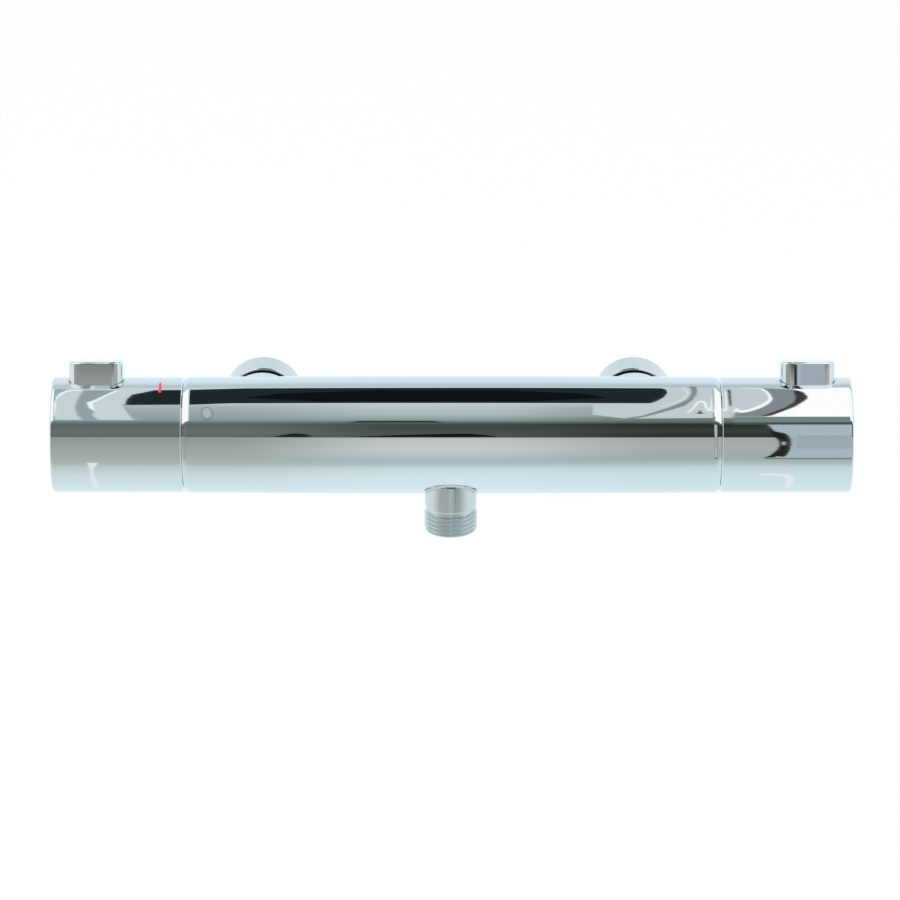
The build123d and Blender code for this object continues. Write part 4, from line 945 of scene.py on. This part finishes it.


# Painted reflections hung inside the tent: glowing cards, flags and reflectors carrying the glints, shadows
# and lamps that the chrome is to show. Each outline is (mm along the bar, degrees round it), and a later card
# hangs in front of an earlier one
cards = [
    ("farPaperLeft", "#F6FAFB", [(-1100, 50), (-215, 50), (-215, 127), (-1100, 127)]),
    ("farPaperRight", "#F6FAFB", [(215, 50), (1100, 50), (1100, 127), (215, 127)]),
    ("overheadFlag", "#1E282C", [
        (-166.7, 83.3), (-166, 96.5), (-163.5, 109), (-158.5, 114), (-154.5, 119), (-152, 122),
        (-140, 122.5), (-110, 126), (112, 126.5), (115, 122), (115.8, 112), (114.6, 102), (111.5, 93),
        (108, 86.4), (-120, 86.4), (-139, 84),
    ]),
    ("flagCore", "#0C1215", [
        (-112, 100), (-92, 110), (-40, 119), (30, 118), (70, 110), (84, 99), (40, 90), (-70, 90),
    ]),
    ("frontFlag", "#14191A", [
        (-55, 19.2), (-30, 22), (-5, 24.5), (10, 25), (20, 22), (26, 19), (10, 18), (-40, 18),
    ]),
    ("frontFlagLeft", "#1A2020", [
        (-97, 18.8), (-92, 22), (-86, 25.5), (-80, 24.5), (-75, 19.5), (-80, 18.2), (-92, 18.2),
    ]),
    ("frontFlagTop", "#2C3534", [(-57, 46), (-50, 49.5), (-10, 49.5), (-3, 46)]),
    ("leftScreen", "#C4D2D5", [
        (-202, 52), (-160, 51.5), (-163.6, 66), (-166.5, 83), (-167.6, 96), (-165, 110), (-160, 121),
        (-202, 121),
    ]),
    ("leftEndShade", "#9EA9AF", [(-215, 86), (-201, 86), (-199.5, 112), (-196, 126), (-215, 126)]),
    ("leftEndSpot", "#3A4246", [(-203.6, 91), (-201.6, 91), (-201.2, 100), (-203, 101)]),
    ("leftScreenEdge", "#8E9EA2", [
        (-188, 121.5), (-171.6, 121), (-177.3, 104.6), (-181.3, 94.6), (-185.2, 88.8), (-183.9, 76),
        (-181.7, 69), (-182.6, 61), (-179.3, 52), (-187.4, 52), (-190.3, 62), (-191.7, 79.6), (-190.6, 95),
        (-189.5, 107),
    ]),
    ("leftScreenFold", "#94A2A8", [
        (-168, 88), (-166.2, 83.3), (-162.6, 66), (-158, 51), (-161.5, 51), (-164.6, 66), (-167.4, 83),
    ]),
    ("leftRibbon", "#F2F8FA", [
        (-202.4, 60), (-202.4, 84), (-201.6, 101), (-199.8, 112), (-196.8, 119.5), (-193, 122.3),
        (-188.6, 123), (-188.6, 120.8), (-193, 120), (-196, 117), (-198.6, 110), (-200.4, 100),
        (-201.1, 84), (-201.6, 60),
    ]),
    ("leftGlint", "#EEF5F7", [
        (-171.4, 121), (-170.2, 119), (-176, 104), (-180, 93.5), (-182.4, 87), (-181.8, 78), (-181.2, 69.5),
        (-184.2, 77), (-185.6, 88.8), (-181.5, 95.5), (-177.5, 105.5),
    ]),
    ("roundLampReflectionRim", "#7C898E", oval(-131.6, 64, 3.4, 15)),
    ("roundLampReflection", "#AAB8BE", oval(-131.6, 66, 2.4, 11)),
    ("rightScreen", "#BFCBCE", [
        (116, 127), (207, 127), (207, 58), (94, 54), (87, 57), (76, 62), (76, 84), (106, 86), (112.5, 93),
        (116, 104),
    ]),
    ("rightArch", "#7C8A8E", [
        (129.6, 133), (130.6, 120), (130.7, 109), (129.1, 94.7), (125.4, 81.7), (118.9, 72.8),
        (112.4, 65.9), (104.3, 57.5), (95, 52), (88, 51), (90, 53), (102.7, 59.8), (110, 68.7), (116.5, 77),
        (122.2, 86.4), (126.2, 96.8), (127.8, 109), (127.4, 122), (125.5, 133),
    ]),
    ("rightArchGlint", "#E2EAEB", [
        (122, 129), (124.8, 119), (125.4, 108), (123.9, 98), (119.8, 88), (112, 79.5), (112, 78.6),
        (120.3, 87), (124.6, 97.3), (126.1, 108), (125.5, 120), (122.8, 129),
    ]),
    ("rightRibbon", "#F4F8F8", [
        (126.6, 66.5), (129.4, 77), (131, 88.5), (132.4, 92.2), (133.8, 93.2), (135.2, 91.6), (136.4, 87),
        (137.4, 78), (138.2, 73.8), (139, 73.5), (138.9, 90), (139.3, 118), (140.1, 118), (139.9, 72),
        (138.5, 69.4), (137.2, 70.8), (136.2, 77), (135.4, 83), (134.6, 88.4), (133.7, 89.8), (132.6, 88.4),
        (131.6, 83), (130.4, 76), (127.6, 65.5),
    ]),
    ("rightWedge", "#2C3133", [(131.6, 64), (132.6, 67.5), (133.4, 72.5), (134.2, 68), (135.4, 64)]),
    ("sideBar", "#3A3632", [(140.4, 123), (142.1, 123), (142.1, 81.5), (140.8, 81.5)]),
    ("greyPanel", "#7E878B", [
        (150, 131), (173.5, 124), (175, 117), (175.6, 100.5), (173.8, 88.8), (169.3, 77.6), (162.6, 67),
        (157, 58.5), (142, 58.5), (142, 66), (150, 74),
    ]),
    ("palePanelEdge", "#F6FAFA", [
        (142.4, 131), (152, 130), (158.4, 127), (160.4, 120), (161.9, 111), (163, 98), (162.4, 93),
        (160.4, 85), (157.2, 77.6), (151.3, 69.2), (148.4, 67), (145.8, 66.4), (144.2, 70), (143.2, 66),
        (142.8, 60), (142.4, 60),
    ]),
    ("palePanel", "#C0CACF", [
        (142.4, 132), (151, 128.5), (156.6, 125.5), (158.8, 119), (160.2, 110.5), (161, 98.4), (160.4, 95),
        (158.6, 88.5), (155.8, 82), (150.6, 73.8), (148, 71.8), (145.9, 71), (144.3, 77.5), (142.9, 70),
        (142.4, 64),
    ]),
    ("whitePanel", "#FBFDFD", [
        (172, 128), (215, 132), (215, 58.6), (158, 58.6), (162, 60.6), (167.5, 69.5), (174, 80),
        (179, 92.6), (180.8, 102.6), (179, 116),
    ]),
    ("panelShadow", "#34343A", [
        (173.6, 122), (176.8, 119.5), (179, 114.5), (180.8, 103.5), (180.3, 98), (178.7, 92), (173.8, 79.4),
        (167.3, 68.9), (161.6, 60.4), (156.7, 58.6), (157.6, 61), (162.4, 67.6), (168.9, 78), (173.2, 89),
        (174.6, 100.5), (173.9, 117),
    ]),
    ("rightEdgeBand", "#74827F", [(142, 58), (211, 58.5), (212.5, 53), (211, 45), (142, 45)]),
    ("rightEdgeLine", "#465250", [(142, 47), (211, 47.5), (211, 42.6), (142, 42.6)]),
    ("bluePanel", "#A6B6BE", [
        (159.6, 42.4), (330, 42.4), (330, -23), (166.8, -23), (168.3, 0), (168, 14), (167.4, 24),
        (163.2, 29),
    ]),
    ("bluePanelMiddle", "#9CA8B0", [(174, 22), (330, 20), (330, -6), (174, -4)]),
    ("bluePanelFoot", "#707C81", [(158, -23.5), (330, -23.5), (330, -27), (158, -26)]),
    ("tripodHead", "#1C1F1C", [
        (158.2, 42), (159.4, 40), (161.8, 30.5), (165.9, 27.2), (168.4, 25), (170, 20.5), (171.1, 13),
        (171.3, 4), (170.6, -8), (169, -18), (167.5, -21.5), (166, -20.6), (164.6, -19.5), (162.7, -22.5),
        (157, -23), (160.2, -19), (162.5, -12.5), (164.2, -6), (165.2, 1.2), (164.9, 10), (163.6, 16),
        (162.4, 18.5),
    ]),
    ("tripodGlint", "#C9C9B4", oval(167.3, 6, 0.75, 4, 8)),
    ("faintStreak", "#DCE8EC", [
        (155, -60), (167, -60.5), (171, -63), (173, -70), (173.4, -90), (171.4, -112), (169.6, -112),
        (170, -84), (168.6, -71), (165, -66.5), (156, -64),
    ]),
    ("faintStreakLeft", "#DBE6E8", [
        (-183.5, -34), (-178, -34), (-181, -50), (-180.6, -66), (-179, -80), (-178.4, -104), (-181.8, -108),
        (-182.8, -70), (-182.6, -50),
    ]),
    ("farFlagLeft", "#7F8987", [(-430, -30), (-385, -30), (-385, 50), (-430, 50)]),
    ("farFlagRight", "#6F7A78", [(350, -30), (380, -30), (380, 42), (350, 42)]),
]


def hangCard(name, tone, outline, level):
    card = flatShape(name, [Vector((along, degrees, 0)) * mm for along, degrees in outline])
    bpy.ops.mesh.quads_convert_to_tris(ngon_method="CLIP")
    bpy.ops.mesh.subdivide(number_cuts=tent["cardCuts"])
    leaveEdit()
    # The flat card is rolled to the tent's curve, so that it never cuts through the one before it
    reach = tent["radius"] - tent["cardGap"] * (level + 1)
    for vertex in card.data.vertices:
        turn = math.radians(vertex.co.y / mm)
        spot = Vector((vertex.co.x / mm, -reach * math.cos(turn), reach * math.sin(turn)))
        vertex.co = barAxis + spot * mm
    material, tree = newMaterial(name + "Paper")
    # Each card glows with its painted reflection tone and lights nothing else
    glow = addNode(tree, "Emission", {"Color": seenInChrome(tone), "Strength": 1.0})
    addNode(tree, "OutputMaterial", links={"Surface": glow.outputs["Emission"]})
    card.data.materials.append(material)
    hideFromAllButChrome(card)


for level, (name, tone, outline) in enumerate(cards):
    hangCard(name, tone, outline, level)
print("tent hung with", len(cards), "cards")

# Floor: pale, far enough below that the mixer's shadow lies soft under it
floor = {"below": 450.0, "size": 9000.0, "paint": "#FFFFFF", "whiteShare": 0.85}
deselectAll()
bpy.ops.mesh.primitive_plane_add(size=floor["size"] * mm, location=(0, 0, -floor["below"] * mm))
floorPiece = placeInMesh(bpy.context.object, "studioFloor")
material, tree = newMaterial("paintedStudioFloor")
raySort = addNode(tree, "LightPath")
matt = addNode(tree, "BsdfDiffuse", {"Color": toLinear(floor["paint"])})
shine = addNode(tree, "Emission", {"Color": (1, 1, 1, 1), "Strength": 1.0})
seen = addNode(
    tree, "Math", {1: floor["whiteShare"]}, {0: raySort.outputs["Is Camera Ray"]},
    operation="MULTIPLY",
)
mixLinks = {0: seen.outputs["Value"], 1: matt.outputs[0], 2: shine.outputs[0]}
blend = addNode(tree, "MixShader", links=mixLinks)
addNode(tree, "OutputMaterial", links={"Surface": blend.outputs[0]})
floorPiece.data.materials.append(material)
floorPiece.visible_glossy = False

# World: white to the camera and to what the chrome sees past the tent, softer on matt surfaces
studioAir = {"softColour": (0.95, 0.98, 1.0, 1), "softStrength": 0.9}
world = bpy.data.worlds.new("studio")
bpy.context.scene.world = world
world.use_nodes = True
tree = world.node_tree
tree.nodes.clear()
rays = addNode(tree, "LightPath").outputs
sharp = addNode(
    tree, "Math", links={0: rays["Is Camera Ray"], 1: rays["Is Glossy Ray"]}, operation="ADD"
)
whiteRays = addNode(
    tree, "Math", links={0: sharp.outputs[0], 1: rays["Is Transmission Ray"]}, operation="ADD",
    use_clamp=True,
)
softValues = {"Color": studioAir["softColour"], "Strength": studioAir["softStrength"]}
soft = addNode(tree, "Background", softValues)
white = addNode(tree, "Background", {"Color": (1, 1, 1, 1), "Strength": 1.0})
mixLinks = {0: whiteRays.outputs[0], 1: soft.outputs[0], 2: white.outputs[0]}
both = addNode(tree, "MixShader", links=mixLinks)
addNode(tree, "OutputWorld", links={"Surface": both.outputs[0]})

# One broad lamp from the front left, kept out of the chrome's view
softbox = {"size": (1.4, 0.9), "power": 22, "place": (-0.9, -1.5, 1.3)}  # in metres and watts
lamp = bpy.data.lights.new("softbox", "AREA")
lamp.shape = "RECTANGLE"
lamp.size, lamp.size_y = softbox["size"]
lamp.energy = softbox["power"]
lampPiece = bpy.data.objects.new("softbox", lamp)
bpy.context.collection.objects.link(lampPiece)
lampPiece.location = softbox["place"]
lampPiece.rotation_euler = (barAxis - lampPiece.location).to_track_quat("-Z", "Y").to_euler()
lampPiece.visible_glossy = False

# Camera at the photograph's angle: 23 degrees above the bar, about two metres off, with a long lens
cameraSetup = {"elevation": 23.0, "distance": 1990.0, "lens": 199.5, "aside": -0.68, "lowered": 6.1}
elevation = math.radians(cameraSetup["elevation"])
viewWay = Vector((0, math.cos(elevation), -math.sin(elevation)))
imageUp = Vector((0, math.sin(elevation), math.cos(elevation)))
aim = barAxis + (barWay * cameraSetup["aside"] - imageUp * cameraSetup["lowered"]) * mm
cameraData = bpy.data.cameras.new("camera")
cameraData.lens = cameraSetup["lens"]
cameraData.sensor_width = 36
cameraData.clip_end = 50
cameraPiece = bpy.data.objects.new("camera", cameraData)
bpy.context.collection.objects.link(cameraPiece)
cameraPiece.location = aim - viewWay * cameraSetup["distance"] * mm
cameraPiece.rotation_euler = viewWay.to_track_quat("-Z", "Y").to_euler()
bpy.context.scene.camera = cameraPiece
bpy.context.scene.view_settings.view_transform = "Standard"
print("stage set")
